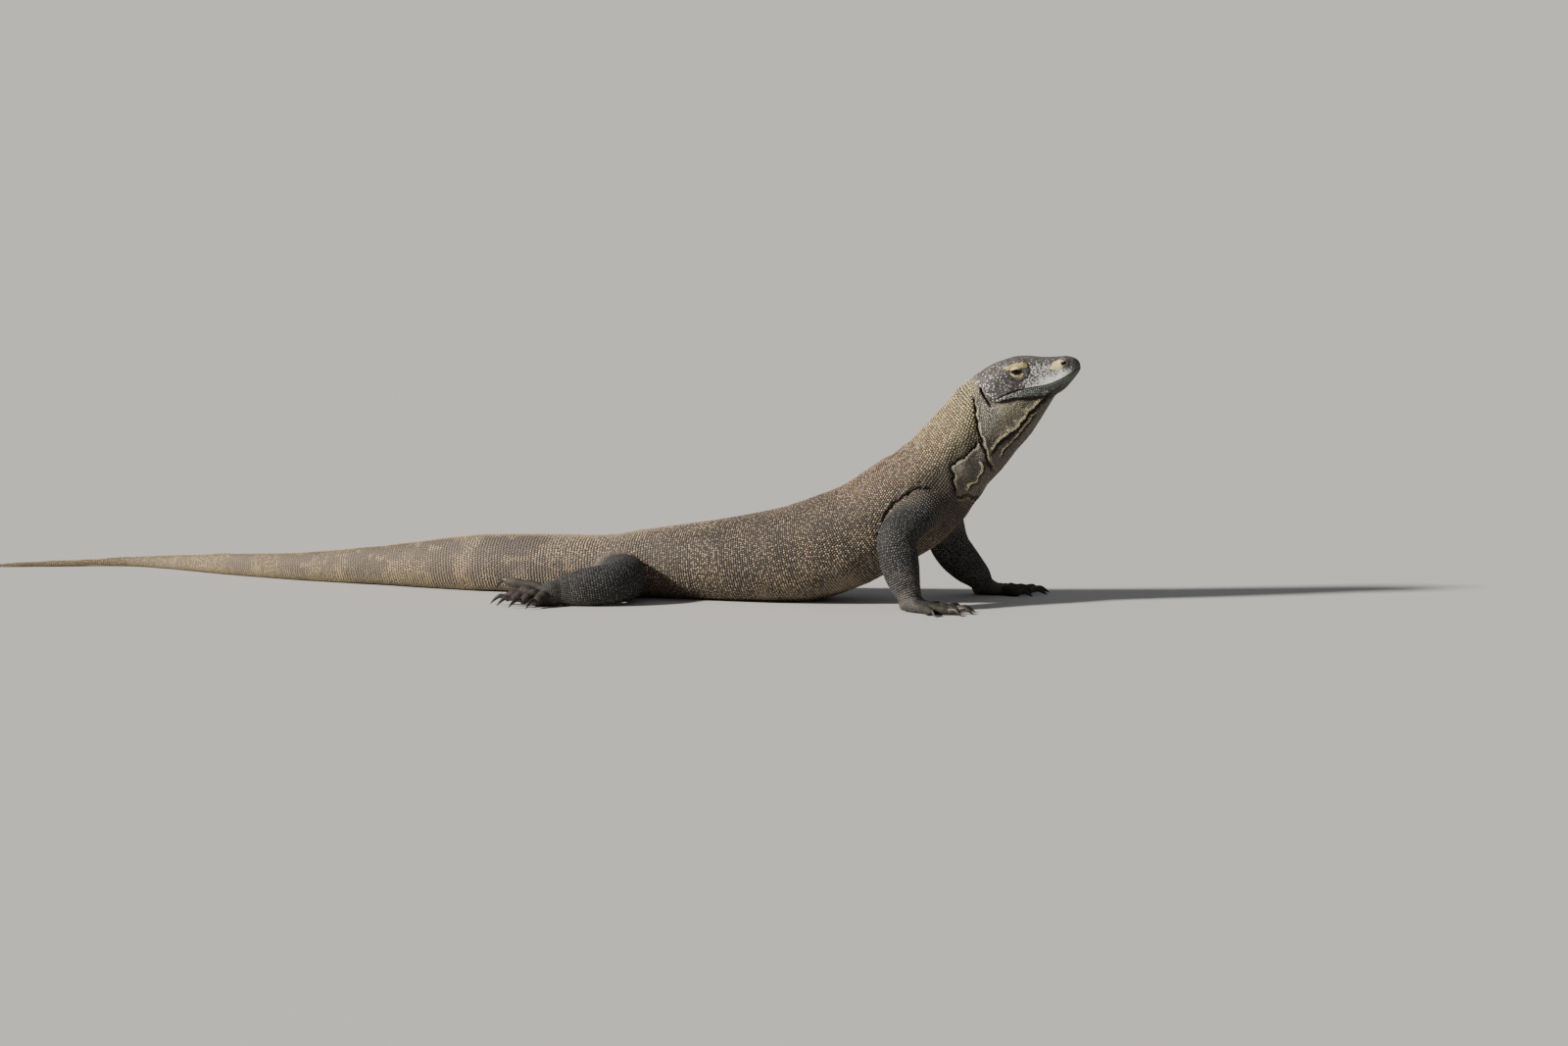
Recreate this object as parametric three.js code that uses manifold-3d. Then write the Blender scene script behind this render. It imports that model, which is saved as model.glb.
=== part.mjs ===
// Komodo dragon, life size, resting on its belly and tail with the chest raised on both forelegs.
//
// Millimetres. +X runs forward along the trunk, +Y to the animal's left and +Z up. The origin is on the floor under
// the middle of the belly. The body is one long tube from the tail's tip to the throat, and the head and the legs
// are tubes of their own. Every tube is a unit cylinder bent along a curve. Neighbours are cut clear of each other.
import * as THREE from 'three';
import { mergeVertices } from 'three/addons/utils/BufferGeometryUtils.js';
import Module from 'manifold-3d';

const wasm = await Module();
wasm.setup();

const GAP = 0.4; // clear space between neighbouring pieces
const UP = new THREE.Vector3(0, 0, 1);
const FORWARD = new THREE.Vector3(1, 0, 0);
const LEFT = 1;
const RIGHT = -1;
const STEP = 5e-4; // small share of a curve, for slopes
const SPREAD = 0.7; // stations to each side that a section's direction is taken over

// ---------------------------------------------------------------- materials

const paint = (color, roughness, metalness = 0) => new THREE.MeshStandardMaterial({ color, roughness, metalness });
const MATERIALS = {
  head: paint('#5b574f', 0.75),
  neck: paint('#7d7252', 0.8),
  trunk: paint('#4c453b', 0.8),
  tail: paint('#756a50', 0.8),
  leg: paint('#3b3935', 0.8),
  claw: paint('#15130f', 0.35),
  eye: paint('#1a1009', 0.1),
};

// ---------------------------------------------------------------- solids

// A closed geometry as a solid that can be joined and cut.
function solidOf(geometry) {
  geometry.deleteAttribute('normal');
  geometry.deleteAttribute('uv');
  const merged = mergeVertices(geometry, 1e-4);
  return new wasm.Manifold(new wasm.Mesh({
    numProp: 3,
    vertProperties: merged.attributes.position.array,
    triVerts: new Uint32Array(merged.index.array),
  }));
}

// A finished solid as a named mesh.
function meshOf(name, solid, material) {
  const made = solid.getMesh();
  const geometry = new THREE.BufferGeometry();
  geometry.setAttribute('position', new THREE.BufferAttribute(made.vertProperties, 3));
  geometry.setIndex(new THREE.BufferAttribute(made.triVerts, 1));
  geometry.computeVertexNormals();
  const mesh = new THREE.Mesh(geometry, MATERIALS[material]);
  mesh.name = name;
  return mesh;
}

// An ellipsoid at a place, turned so that its x, y and z radii lie along the axes of a frame.
function ellipsoid(centre, radii, frame, across = 10, down = 6) {
  const geometry = new THREE.SphereGeometry(1, across, down);
  geometry.scale(radii.x, radii.y, radii.z);
  geometry.applyMatrix4(frame);
  geometry.translate(centre.x, centre.y, centre.z);
  return solidOf(geometry);
}

// ---------------------------------------------------------------- tubes

// One cross-section of a tube: its centre, half-width, and height above and depth below the centre.
const station = (x, y, z, width, rise, drop = rise) => ({
  centre: new THREE.Vector3(x, y, z),
  girth: new THREE.Vector3(width, rise, drop),
});

// A body or limb of changing girth along a curve through its stations. u runs over the station numbers.
class Tube {
  // square is the superellipse power of the section, 2 being an ellipse. lean is the way that "above" points.
  constructor(stations, { sides, square = 2, lean = UP, axis = null }) {
    this.last = stations.length - 1;
    this.line = new THREE.CatmullRomCurve3(stations.map((s) => s.centre), false, 'centripetal');
    this.girth = new THREE.CatmullRomCurve3(stations.map((s) => s.girth), false, 'catmullrom', 0.5);
    Object.assign(this, { sides, square, lean, axis });
  }

  // The section's axes. They turn with the line's chord over SPREAD stations each way, which keeps sections from
  // crossing on the inside of a bend.
  frameAt(u) {
    const ahead = this.line.getPoint(Math.min((u + SPREAD) / this.last, 1));
    const behind = this.line.getPoint(Math.max((u - SPREAD) / this.last, 0));
    const along = this.axis ?? ahead.sub(behind).normalize();
    const right = new THREE.Vector3().crossVectors(along, this.lean).normalize();
    const above = new THREE.Vector3().crossVectors(right, along);
    return { along, right, above };
  }

  // Millimetres of centre line for each unit of u.
  speedAt(u) {
    const near = THREE.MathUtils.clamp(u / this.last, STEP, 1 - STEP);
    return this.line.getPoint(near - STEP).distanceTo(this.line.getPoint(near + STEP)) / (2 * STEP * this.last);
  }

  // The length of tube between two stations, with rings of faces. grow makes it a cutter that clears the piece
  // all round. Nothing goes below the floor: what would is pressed flat on it.
  solid(from, to, rings, grow = 0) {
    const geometry = new THREE.CylinderGeometry(1, 1, 1, this.sides, rings);
    const place = geometry.attributes.position;
    const start = from - (grow - GAP / 2) / this.speedAt(from);
    const end = to + (grow - GAP / 2) / this.speedAt(to);
    const point = new THREE.Vector3();
    for (let i = 0; i < place.count; i++) {
      const u = THREE.MathUtils.clamp(start + (place.getY(i) + 0.5) * (end - start), 0, this.last);
      const { right, above } = this.frameAt(u);
      const girth = this.girth.getPoint(u / this.last);
      const bend = (v) => Math.sign(v) * Math.abs(v) ** (2 / this.square);
      const x = bend(place.getX(i)) * (girth.x + grow);
      const z = bend(place.getZ(i)) * ((place.getZ(i) > 0 ? girth.y : girth.z) + grow);
      point.copy(this.line.getPoint(u / this.last)).addScaledVector(right, x).addScaledVector(above, z);
      place.setXYZ(i, point.x, point.y, Math.max(point.z, -grow));
    }
    return solidOf(geometry);
  }
}

// ---------------------------------------------------------------- body: tail, trunk, neck and throat

const BODY = [
  station(-1740, 95, 3, 1.9, 2, 3.5), // 0 tail's tip
  station(-1625, 143, 4.6, 4.2, 4.4, 5.5),
  station(-1505, 187, 7, 6.8, 6.6, 8),
  station(-1389, 220, 10, 9, 9.5, 11), // 3
  station(-1290, 195, 14, 12, 13.5, 15),
  station(-1195, 150, 20, 15, 19, 21), // 5
  station(-1085, 108, 24, 19, 24, 25),
  station(-982, 78, 28, 24, 28, 29), // 7
  station(-818, 45, 38, 32, 38, 39),
  station(-700, 20, 47, 41, 48, 48), // 9 tail's root
  station(-590, 5, 54, 52, 57, 56),
  station(-460, 0, 57, 63, 59, 59), // 11 vent
  station(-334, 0, 58, 76, 60, 61), // hips
  station(-250, 0, 64, 90, 67, 68), // 13 loin
  station(-145, 0, 71, 106, 76, 77),
  station(-28, 0, 80, 117, 87, 88), // 15 belly
  station(70, 0, 96, 116, 95, 102),
  station(140, 0, 118, 112, 97, 104), // 17 ribs
  station(200, 0, 146, 105, 95, 102),
  station(262, 0, 188, 97, 92, 109), // 19 breast
  station(320, 1, 230, 88, 89, 106),
  station(372, 4, 276, 79, 87, 90), // 21 foot of the neck
  station(420, 8, 330, 70, 85, 86),
  station(456, 11, 374, 62, 84, 86), // 23 top of the neck
  station(490, 15, 410, 53, 70, 84),
  station(530, 21, 434, 42, 42, 69), // 25 throat
  station(575, 29, 452, 30, 20, 38),
  station(596, 33, 457, 14, 8, 18), // 27 chin
];
const body = new Tube(BODY, { sides: 18, square: 2.15 });

// Name, first and last station, rings and colour of each length of the body.
const BODY_LENGTHS = [
  ['tail_tip', 0, 3, 5, 'tail'],
  ['tail_end', 3, 6, 5, 'tail'],
  ['tail_middle', 6, 8.5, 4, 'tail'],
  ['tail_root', 8.5, 11, 4, 'tail'],
  ['hips', 11, 13, 3, 'trunk'],
  ['belly', 13, 16, 5, 'trunk'],
  ['ribs', 16, 18.3, 4, 'trunk'],
  ['breast', 18.3, 20.6, 4, 'trunk'],
  ['neck_lower', 20.6, 22.6, 3, 'neck'],
  ['neck_upper', 22.6, 27, 7, 'neck'],
];

// ---------------------------------------------------------------- head

const SNOUT = new THREE.Vector3(635, 40.5, 477); // foremost point of the muzzle
const HEAD_PITCH = THREE.MathUtils.degToRad(17.3);
const HEAD_YAW = THREE.MathUtils.degToRad(11);
const HEAD_FRAME = new THREE.Matrix4().makeRotationFromEuler(new THREE.Euler(0, -HEAD_PITCH, HEAD_YAW, 'ZYX'));
const HEAD_AXIS = FORWARD.clone().transformDirection(HEAD_FRAME);

// A place on the head: back from the snout, to the left of the midline, and above the axis.
const onHead = (back, left, above) => new THREE.Vector3(-back, left, above).applyMatrix4(HEAD_FRAME).add(SNOUT);

// A cross-section of the head: distance back from the snout, half-width, crown and jaw line.
function headStation(back, width, crown, jaw) {
  const { x, y, z } = onHead(back, 0, (crown + jaw) / 2);
  return station(x, y, z, width, (crown - jaw) / 2);
}
const HEAD = [
  headStation(222, 30, 22, -16), // inside the neck
  headStation(208, 45, 40, -27),
  headStation(190, 53, 49, -33), // 2 angle of the jaw
  headStation(170, 55, 54.5, -34),
  headStation(148, 51, 56.5, -32),
  headStation(117, 44, 56.5, -31), // 5 eyes
  headStation(92, 38.5, 50, -36),
  headStation(70, 35, 41, -41),
  headStation(43, 31, 33, -35), // 8 bridge of the nose
  headStation(22, 27.5, 28.5, -23),
  headStation(9, 22, 21.5, -14), // 10 nostrils
  headStation(2, 14, 14, -7),
  headStation(0, 7, 8, -1), // snout
];
const head = new Tube(HEAD, { sides: 18, square: 2.5, axis: HEAD_AXIS });
const HEAD_RINGS = 16;

const EYE_BACK = 125;
const EYE_SIDE = 32.5;
const EYE_ABOVE = 29;
const EYE_RADIUS = 12;
const MOUTH_CORNER = 177;

// The line between the lips, seen from the side: distance back from the snout, and height.
const MOUTH_LINE = [[-12, 1], [8, -3], [26, -8], [66, -14], [108, -9], [143, -6.5], [MOUTH_CORNER, -10.5]];

// Everything under the line between the lips, back to the corner of the mouth. drop lowers and shortens it.
function underMouth(drop) {
  const DEEP = 90;
  const WIDE = 160;
  const lips = new THREE.SplineCurve(MOUTH_LINE.map(([back, above]) => new THREE.Vector2(-back, above - drop)));
  const outline = new THREE.Shape(lips.getPoints(12).map((p) => p.setX(Math.max(p.x, drop - MOUTH_CORNER))));
  outline.lineTo(drop - MOUTH_CORNER - 6, -26);
  outline.lineTo(drop - MOUTH_CORNER - 6, -DEEP);
  outline.lineTo(12, -DEEP);
  const geometry = new THREE.ExtrudeGeometry(outline, { depth: WIDE, bevelEnabled: false, steps: 1 });
  geometry.rotateX(Math.PI / 2).translate(0, WIDE / 2, 0);
  geometry.applyMatrix4(HEAD_FRAME).translate(SNOUT.x, SNOUT.y, SNOUT.z);
  return solidOf(geometry);
}

function buildHead() {
  const fromHead = (back, side, above, rx, ry, rz) =>
    ellipsoid(onHead(back, side, above), new THREE.Vector3(rx, ry, rz), HEAD_FRAME);
  let skull = head.solid(0, head.last, HEAD_RINGS);
  const earPits = [];
  for (const side of [LEFT, RIGHT]) {
    skull = skull
      .add(fromHead(128, side * 33, 42, 30, 12, 11)) // brow
      .add(fromHead(166, side * 40, 2, 34, 16, 26)) // jaw muscle
      .add(fromHead(30, side * 19, 15, 16, 10, 13)); // swelling round the nostril
  }
  for (const side of [LEFT, RIGHT]) {
    earPits.push(fromHead(199, side * 53, -2, 4.5, 9, 14));
    skull = skull
      .subtract(fromHead(EYE_BACK, side * EYE_SIDE, EYE_ABOVE, EYE_RADIUS + GAP, EYE_RADIUS + GAP, EYE_RADIUS + GAP))
      .subtract(fromHead(30, side * 29.5, 15, 5, 4.5, 3))
      .subtract(earPits.at(-1));
  }
  const eyes = [LEFT, RIGHT].map((side) => meshOf(side === LEFT ? 'eye_left' : 'eye_right',
    fromHead(EYE_BACK, side * EYE_SIDE, EYE_ABOVE, EYE_RADIUS, EYE_RADIUS, EYE_RADIUS), 'eye'));
  return {
    skull,
    earPits,
    meshes: [
      meshOf('head', skull.subtract(underMouth(0)), 'head'),
      meshOf('lower_jaw', skull.intersect(underMouth(GAP)), 'head'),
      ...eyes,
    ],
  };
}

// ---------------------------------------------------------------- legs

// Each leg is one tube from inside the body over the middle joint to the wrist or ankle. Girths are across the leg,
// then towards lean and away from it.
const LEGS = {
  foreleg_right: {
    lean: FORWARD,
    stations: [
      station(352, -22, 212, 44, 46), station(344, -58, 200, 42, 46), station(318, -94, 172, 38, 40), // upper arm
      station(296, -122, 138, 36, 43, 35), station(300, -133, 106, 35, 46, 34), // elbow, top of the forearm
      station(312, -139, 72, 31, 41, 32), station(327, -144, 42, 25, 28), station(334, -146, 22, 21, 23), // wrist
    ],
    joint: 3,
    foot: { x: 335, y: -147, turn: -8 },
  },
  foreleg_left: {
    lean: FORWARD,
    stations: [
      station(346, 22, 212, 42, 44), station(344, 60, 196, 40, 44), station(345, 92, 150, 36, 41),
      station(352, 116, 104, 36, 40), station(366, 135, 76, 35, 39),
      station(384, 152, 52, 31, 34), station(399, 166, 34, 25, 27), station(406, 172, 20, 21, 22),
    ],
    joint: 3,
    foot: { x: 407, y: 173, turn: 22 },
  },
  hindleg_right: {
    lean: UP,
    stations: [
      station(-304, -22, 60, 38, 40, 46), station(-292, -62, 56, 42, 40, 48), station(-264, -106, 53, 41, 41, 48), // thigh
      station(-244, -150, 52, 36, 42, 48), station(-262, -186, 44, 32, 42, 42), // knee, top of the shank
      station(-302, -205, 38, 28, 41, 38), station(-338, -214, 32, 24, 35, 32), station(-364, -218, 26, 22, 29, 26), // ankle
    ],
    joint: 3,
    foot: { x: -364, y: -219, turn: 190 },
  },
  hindleg_left: {
    lean: UP,
    stations: [
      station(-304, 22, 60, 38, 40, 46), station(-292, 62, 56, 42, 40, 48), station(-258, 106, 57, 41, 41, 49),
      station(-234, 150, 56, 36, 42, 48), station(-248, 184, 46, 32, 38, 42),
      station(-280, 206, 36, 28, 32, 36), station(-304, 220, 27, 23, 26, 27), station(-316, 228, 20, 20, 21),
    ],
    joint: 3,
    foot: { x: -312, y: 230, turn: 42 },
  },
};

const CLAW_LENGTH = 30;
const CLAW_HOOK = 7; // drop from the end of a toe to its claw's point

// A toe: where it leaves the sole (forward and towards the outer side), its own turn outwards in degrees, its
// length without the claw, how high its knuckle and tip stand, and the drop of its claw.
const toe = (forward, out, turn, length, knuckle, tip = 8.5, hook = CLAW_HOOK) =>
  ({ forward, out, turn, length, knuckle, tip, hook });
const HAND = {
  thick: 9.5, // radius of a toe at its thickest
  sole: [[0, 24, 20, 20], [18, 30, 15, 14], [38, 33, 12, 11], [54, 27, 10, 9]],
  toes: [
    toe(34, -22, -38, 40, 11), toe(44, -13, -14, 52, 11), toe(48, 0, 2, 56, 11), toe(44, 13, 18, 52, 11),
    toe(32, 23, 46, 38, 11),
  ],
};
const FOOT = {
  thick: 11,
  sole: [[0, 23, 28, 27], [24, 29, 25, 25], [44, 31, 18, 18], [60, 25, 13, 13]],
  toes: [
    toe(24, -20, -56, 35, 23, 13, 11), toe(36, -14, -34, 43, 27, 14, 12), toe(44, -4, -14, 51, 29, 15, 13),
    toe(48, 8, 2, 60, 30, 15, 13), toe(30, 22, 40, 50, 19, 12, 10),
  ],
};
// The right hind foot lies turned back beside the tail, with its outermost toe lifted towards the tail's root.
const FOOT_TURNED_BACK = {
  ...FOOT,
  toes: [...FOOT.toes.slice(0, 4), toe(34, 20, 34, 92, 37, 39, 18)],
};
const TOE_RINGS = 3;

// The sole and toes of one foot, and its claws. outer is LEFT or RIGHT, the side on which the last toe is.
function buildFoot(name, { x, y, turn }, plan, outer) {
  const frame = new THREE.Matrix4().makeRotationZ(THREE.MathUtils.degToRad(turn)).setPosition(x, y, 0);
  const at = (forward, out, z) => new THREE.Vector3(forward, out * outer, z).applyMatrix4(frame);
  const ring = (place, width, rise, drop) => station(place.x, place.y, place.z, width, rise, drop);
  const sole = new Tube(plan.sole.map(([forward, width, high, rise]) =>
    ring(at(forward, 0, high - 3), width, rise, rise)), { sides: 12, square: 2.3 });
  let foot = sole.solid(0, sole.last, 3);
  const claws = plan.toes.map((t, number) => {
    const way = THREE.MathUtils.degToRad(t.turn);
    const along = (d, z) => at(t.forward + d * Math.cos(way), t.out + d * Math.sin(way), z);
    const r = plan.thick;
    const digit = new Tube([
      ring(along(-14, Math.max(10, t.knuckle * 0.7)), r * 0.9, r, r),
      ring(along(t.length * 0.35, t.knuckle), r, r * 0.95, r),
      ring(along(t.length * 0.7, (t.knuckle + t.tip) / 2), r * 0.92, r * 0.88, r),
      ring(along(t.length, t.tip), r * 0.74, r * 0.74, r * 0.82),
    ], { sides: 6, square: 2.2 });
    foot = foot.add(digit.solid(0, digit.last, TOE_RINGS));
    const claw = new Tube([
      ring(along(t.length - 4, t.tip), 3.9, 5.6, 5.4),
      ring(along(t.length + CLAW_LENGTH * 0.4, t.tip + 2.5), 3.2, 4.6, 4.6),
      ring(along(t.length + CLAW_LENGTH * 0.75, t.tip - t.hook * 0.35), 2.1, 3, 3),
      ring(along(t.length + CLAW_LENGTH, t.tip - t.hook), 0.7, 0.9, 0.9),
    ], { sides: 5 });
    const bare = claw.solid(0, claw.last, 3).subtract(digit.solid(0, digit.last, TOE_RINGS, GAP));
    return meshOf(`${name}_claw_${number + 1}`, bare, 'claw');
  });
  return { foot, claws };
}

const THIGH_RINGS = 4;
const SHANK_RINGS = 4;

function buildLeg(name, plan, footPlan, bodyCutters) {
  const { stations, lean, joint, foot } = LEGS[name];
  const leg = new Tube(stations, { sides: 12, square: 2.1, lean });
  const outer = name.endsWith('left') ? LEFT : RIGHT;
  const [upper, lower, end] = plan;
  const made = buildFoot(`${name}_${end}`, foot, footPlan, outer);
  const lowerSolid = leg.solid(joint, leg.last, SHANK_RINGS);
  const lowerCutter = leg.solid(joint, leg.last, SHANK_RINGS, GAP);
  const upperSolid = [...bodyCutters, lowerCutter].reduce((s, cutter) => s.subtract(cutter), leg.solid(0, joint, THIGH_RINGS));
  return [
    meshOf(`${name}_${upper}`, upperSolid, 'leg'),
    meshOf(`${name}_${lower}`, lowerSolid, 'leg'),
    meshOf(`${name}_${end}`, made.foot.subtract(lowerCutter), 'leg'),
    ...made.claws,
  ];
}

// ---------------------------------------------------------------- the animal

const dragon = new THREE.Group();
dragon.name = 'komodo_dragon';

const { skull, earPits, meshes } = buildHead();
dragon.add(...meshes);

const skullCutter = head.solid(0, head.last, HEAD_RINGS, GAP).add(skull);
for (const [name, from, to, rings, colour] of BODY_LENGTHS) {
  let solid = body.solid(from, to, rings);
  if (name === 'neck_upper') solid = [skullCutter, ...earPits].reduce((s, cutter) => s.subtract(cutter), solid);
  dragon.add(meshOf(name, solid, colour));
}

const cuttersOf = (...names) => BODY_LENGTHS.filter(([name]) => names.includes(name))
  .map(([, from, to, rings]) => body.solid(from, to, rings, GAP));
const breastCutters = cuttersOf('ribs', 'breast', 'neck_lower');
const hipCutters = cuttersOf('tail_root', 'hips', 'belly');
const ARM = ['upper_arm', 'forearm', 'hand'];
const THIGH = ['thigh', 'shank', 'foot'];
dragon.add(
  ...buildLeg('foreleg_right', ARM, HAND, breastCutters),
  ...buildLeg('foreleg_left', ARM, HAND, breastCutters),
  ...buildLeg('hindleg_right', THIGH, FOOT_TURNED_BACK, hipCutters),
  ...buildLeg('hindleg_left', THIGH, FOOT, hipCutters),
);

export default dragon;
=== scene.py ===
"""Komodo dragon, life size: the skin, its coat of scales, the eyes, the claws, and a plain stage.

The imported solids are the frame. One skin stands for all their flesh: the union of the same tubes and
swellings, made fine and a scale's depth thinner, with the folds and the face. Every scale is a small closed
dome on that skin. Skin and scales are coloured by the same marks, which are attributes of their vertices.
"""

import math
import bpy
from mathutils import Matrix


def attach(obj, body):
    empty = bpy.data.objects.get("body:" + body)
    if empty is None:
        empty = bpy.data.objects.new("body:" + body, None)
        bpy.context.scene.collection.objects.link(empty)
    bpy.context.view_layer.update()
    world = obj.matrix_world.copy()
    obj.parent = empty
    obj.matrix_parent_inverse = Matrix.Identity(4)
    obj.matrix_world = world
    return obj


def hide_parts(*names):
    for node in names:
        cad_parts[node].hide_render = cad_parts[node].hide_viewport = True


bl_info = {
    "name": "Komodo Dragon",
    "version": (1, 0, 0),
    "blender": (4, 5, 0),
    "location": "View3D > Sidebar > Dragon",
    "description": "Skins and scales the solids of a life-size komodo dragon",
    "category": "Object",
}

from functools import cached_property

import bmesh
import bpy
import numpy as np
from bpy.props import FloatProperty, FloatVectorProperty, IntProperty, PointerProperty
from mathutils.bvhtree import BVHTree
from mathutils.kdtree import KDTree

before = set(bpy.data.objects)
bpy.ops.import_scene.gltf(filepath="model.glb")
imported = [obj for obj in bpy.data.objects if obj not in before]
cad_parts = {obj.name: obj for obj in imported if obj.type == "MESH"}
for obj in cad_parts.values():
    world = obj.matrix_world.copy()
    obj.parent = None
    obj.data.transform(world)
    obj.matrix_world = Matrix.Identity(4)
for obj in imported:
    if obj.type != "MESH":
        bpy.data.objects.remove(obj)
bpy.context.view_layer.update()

MM = 0.001
LEFT, RIGHT = 1, -1
UP, FORWARD = (0.0, 0.0, 1.0), (1.0, 0.0, 0.0)

# ------------------------ stations, in millimetres

# x, y, z, half-width, height above and depth below the centre: from the tail's tip to the chin.
BODY = (
    (-1740, 95, 3, 1.9, 2, 3.5), (-1625, 143, 4.6, 4.2, 4.4, 5.5), (-1505, 187, 7, 6.8, 6.6, 8),
    (-1389, 220, 10, 9, 9.5, 11), (-1290, 195, 14, 12, 13.5, 15), (-1195, 150, 20, 15, 19, 21),
    (-1085, 108, 24, 19, 24, 25), (-982, 78, 28, 24, 28, 29), (-818, 45, 38, 32, 38, 39),
    (-700, 20, 47, 41, 48, 48), (-590, 5, 54, 52, 57, 56), (-460, 0, 57, 63, 59, 59),
    (-334, 0, 58, 76, 60, 61), (-250, 0, 64, 90, 67, 68), (-145, 0, 71, 106, 76, 77),
    (-28, 0, 80, 117, 87, 88), (70, 0, 96, 116, 95, 102), (140, 0, 118, 112, 97, 104),
    (200, 0, 146, 105, 95, 102), (262, 0, 188, 97, 92, 109), (320, 1, 230, 88, 89, 106),
    (372, 4, 276, 79, 87, 90), (420, 8, 330, 70, 85, 86), (456, 11, 374, 62, 84, 86),
    (490, 15, 410, 53, 70, 84), (530, 21, 434, 42, 42, 69), (575, 29, 452, 30, 20, 38),
    (596, 33, 457, 14, 8, 18),
)

SNOUT = np.array((635.0, 40.5, 477.0)) * MM
HEAD_PITCH = math.radians(17.3)
HEAD_YAW = math.radians(11)

# Distance back from the snout, half-width, crown and jaw line.
HEAD = (
    (222, 30, 22, -16), (208, 45, 40, -27), (190, 53, 49, -33), (170, 55, 54.5, -34), (148, 51, 56.5, -32),
    (117, 44, 56.5, -31), (92, 38.5, 50, -36), (70, 35, 41, -41), (43, 31, 33, -35), (22, 27.5, 28.5, -23),
    (9, 22, 21.5, -14), (2, 14, 14, -7), (0, 7, 8, -1),
)
# Swellings of the head on each side: back, out, above, and the radii along those.
HEAD_SWELLINGS = {
    "brow": (128, 33, 42, 30, 12, 11),
    "jaw_muscle": (166, 40, 2, 34, 16, 26),
    "nostril": (30, 19, 15, 16, 10, 13),
}
EYE = (125.0, 32.5, 29.0)  # back, out, above
EYE_RADIUS = 12.0
LINE_OF_SIGHT = (0.12, 0.1)  # ahead and up, for each unit outwards
LID_SHELL = EYE_RADIUS + 1.15  # from the eye's centre to the outside of its lids
# The opening between the lids: degrees to its corners, upper lid and lower lid, the power of its almond, how
# far its middle is above the line of sight, and how far it drops to the front.
LIDS_WIDE, LIDS_UP, LIDS_DOWN = 42, 23, 27
LIDS_POWER = 1.8
LIDS_LOW, LIDS_TILT = -0.08, 0.28
ORBIT = (117, 30)  # back and above, of the middle of the eye's socket
ORBIT_RADIUS = 21.3
NOSTRIL = (29.0, 17.0)  # back, above
# Clusters of white specks behind the eye: back, above, and how far they reach along those.
TEMPLE_SPECKS = (
    (178, 34, 9, 3), (153, 21, 5, 6), (180, 18, 6, 6), (192, 19, 6, 6), (187, 4, 7, 9), (177, -4, 8, 4),
    (161, 29, 6, 2.5), (200, 30, 8, 5),
)
EAR = ((200, 17), (198.5, 5), (195.5, -6), (193, -15), (190.5, -21))
MOUTH = ((-12, 1), (8, -3), (26, -8), (66, -14), (108, -9), (143, -6.5), (177, -10.5))

TAIL_END = 0.1155  # metres of tail behind the place that patterns along the body are measured from

# Each leg from inside the body to the wrist or ankle; where its foot stands, and the foot's turn in degrees.
LEGS = {
    "foreleg_right": (FORWARD, (
        (352, -22, 212, 44, 46, 46), (344, -58, 200, 42, 46, 46), (318, -94, 172, 38, 40, 40),
        (296, -122, 138, 36, 43, 35), (300, -133, 106, 35, 46, 34), (312, -139, 72, 31, 41, 32),
        (327, -144, 42, 25, 28, 28), (334, -146, 22, 21, 23, 23)), (335, -147, -8)),
    "foreleg_left": (FORWARD, (
        (346, 22, 212, 42, 44, 44), (344, 60, 196, 40, 44, 44), (345, 92, 150, 36, 41, 41),
        (352, 116, 104, 36, 40, 40), (366, 135, 76, 35, 39, 39), (384, 152, 52, 31, 34, 34),
        (399, 166, 34, 25, 27, 27), (406, 172, 20, 21, 22, 22)), (407, 173, 22)),
    "hindleg_right": (UP, (
        (-304, -22, 60, 38, 40, 46), (-292, -62, 56, 42, 40, 48), (-264, -106, 53, 41, 41, 48),
        (-244, -150, 52, 36, 42, 48), (-262, -186, 44, 32, 42, 42), (-302, -205, 38, 28, 41, 38),
        (-338, -214, 32, 24, 35, 32), (-364, -218, 26, 22, 29, 26)), (-364, -219, 190)),
    "hindleg_left": (UP, (
        (-304, 22, 60, 38, 40, 46), (-292, 62, 56, 42, 40, 48), (-258, 106, 57, 41, 41, 49),
        (-234, 150, 56, 36, 42, 48), (-248, 184, 46, 32, 38, 42), (-280, 206, 36, 28, 32, 36),
        (-304, 220, 27, 23, 26, 27), (-316, 228, 20, 20, 21, 21)), (-312, 230, 42)),
}
CLAW_LENGTH = 30.0
# Sole: forward, half-width, height, rise. Toe: forward, out, turn, length, knuckle, tip, drop of the claw.
# Then the radius of a toe at its thickest.
# The palm is carried back to a rounded heel, and stops a little short so that the toes part earlier.
HAND = (
    ((-21, 12, 13, 10), (-8, 21, 19, 17), (6, 25, 20, 19), (20, 29, 15, 14), (36, 31, 12, 11),
     (49, 24, 10, 9)),
    ((34, -22, -38, 40, 11, 8.5, 7), (44, -13, -14, 52, 11, 8.5, 7), (48, 0, 2, 56, 11, 8.5, 7),
     (44, 13, 18, 52, 11, 8.5, 7), (32, 23, 46, 38, 11, 8.5, 7)),
    9.5,
)
FOOT = (
    ((-12, 15, 20, 18), (2, 23, 28, 27), (24, 28, 25, 25), (42, 29, 18, 18), (55, 22, 13, 13)),
    ((24, -20, -56, 35, 23, 13, 11), (36, -14, -34, 43, 27, 14, 12), (44, -4, -14, 51, 29, 15, 13),
     (48, 8, 2, 60, 30, 15, 13), (30, 22, 40, 50, 19, 12, 10)),
    11.0,
)
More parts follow.
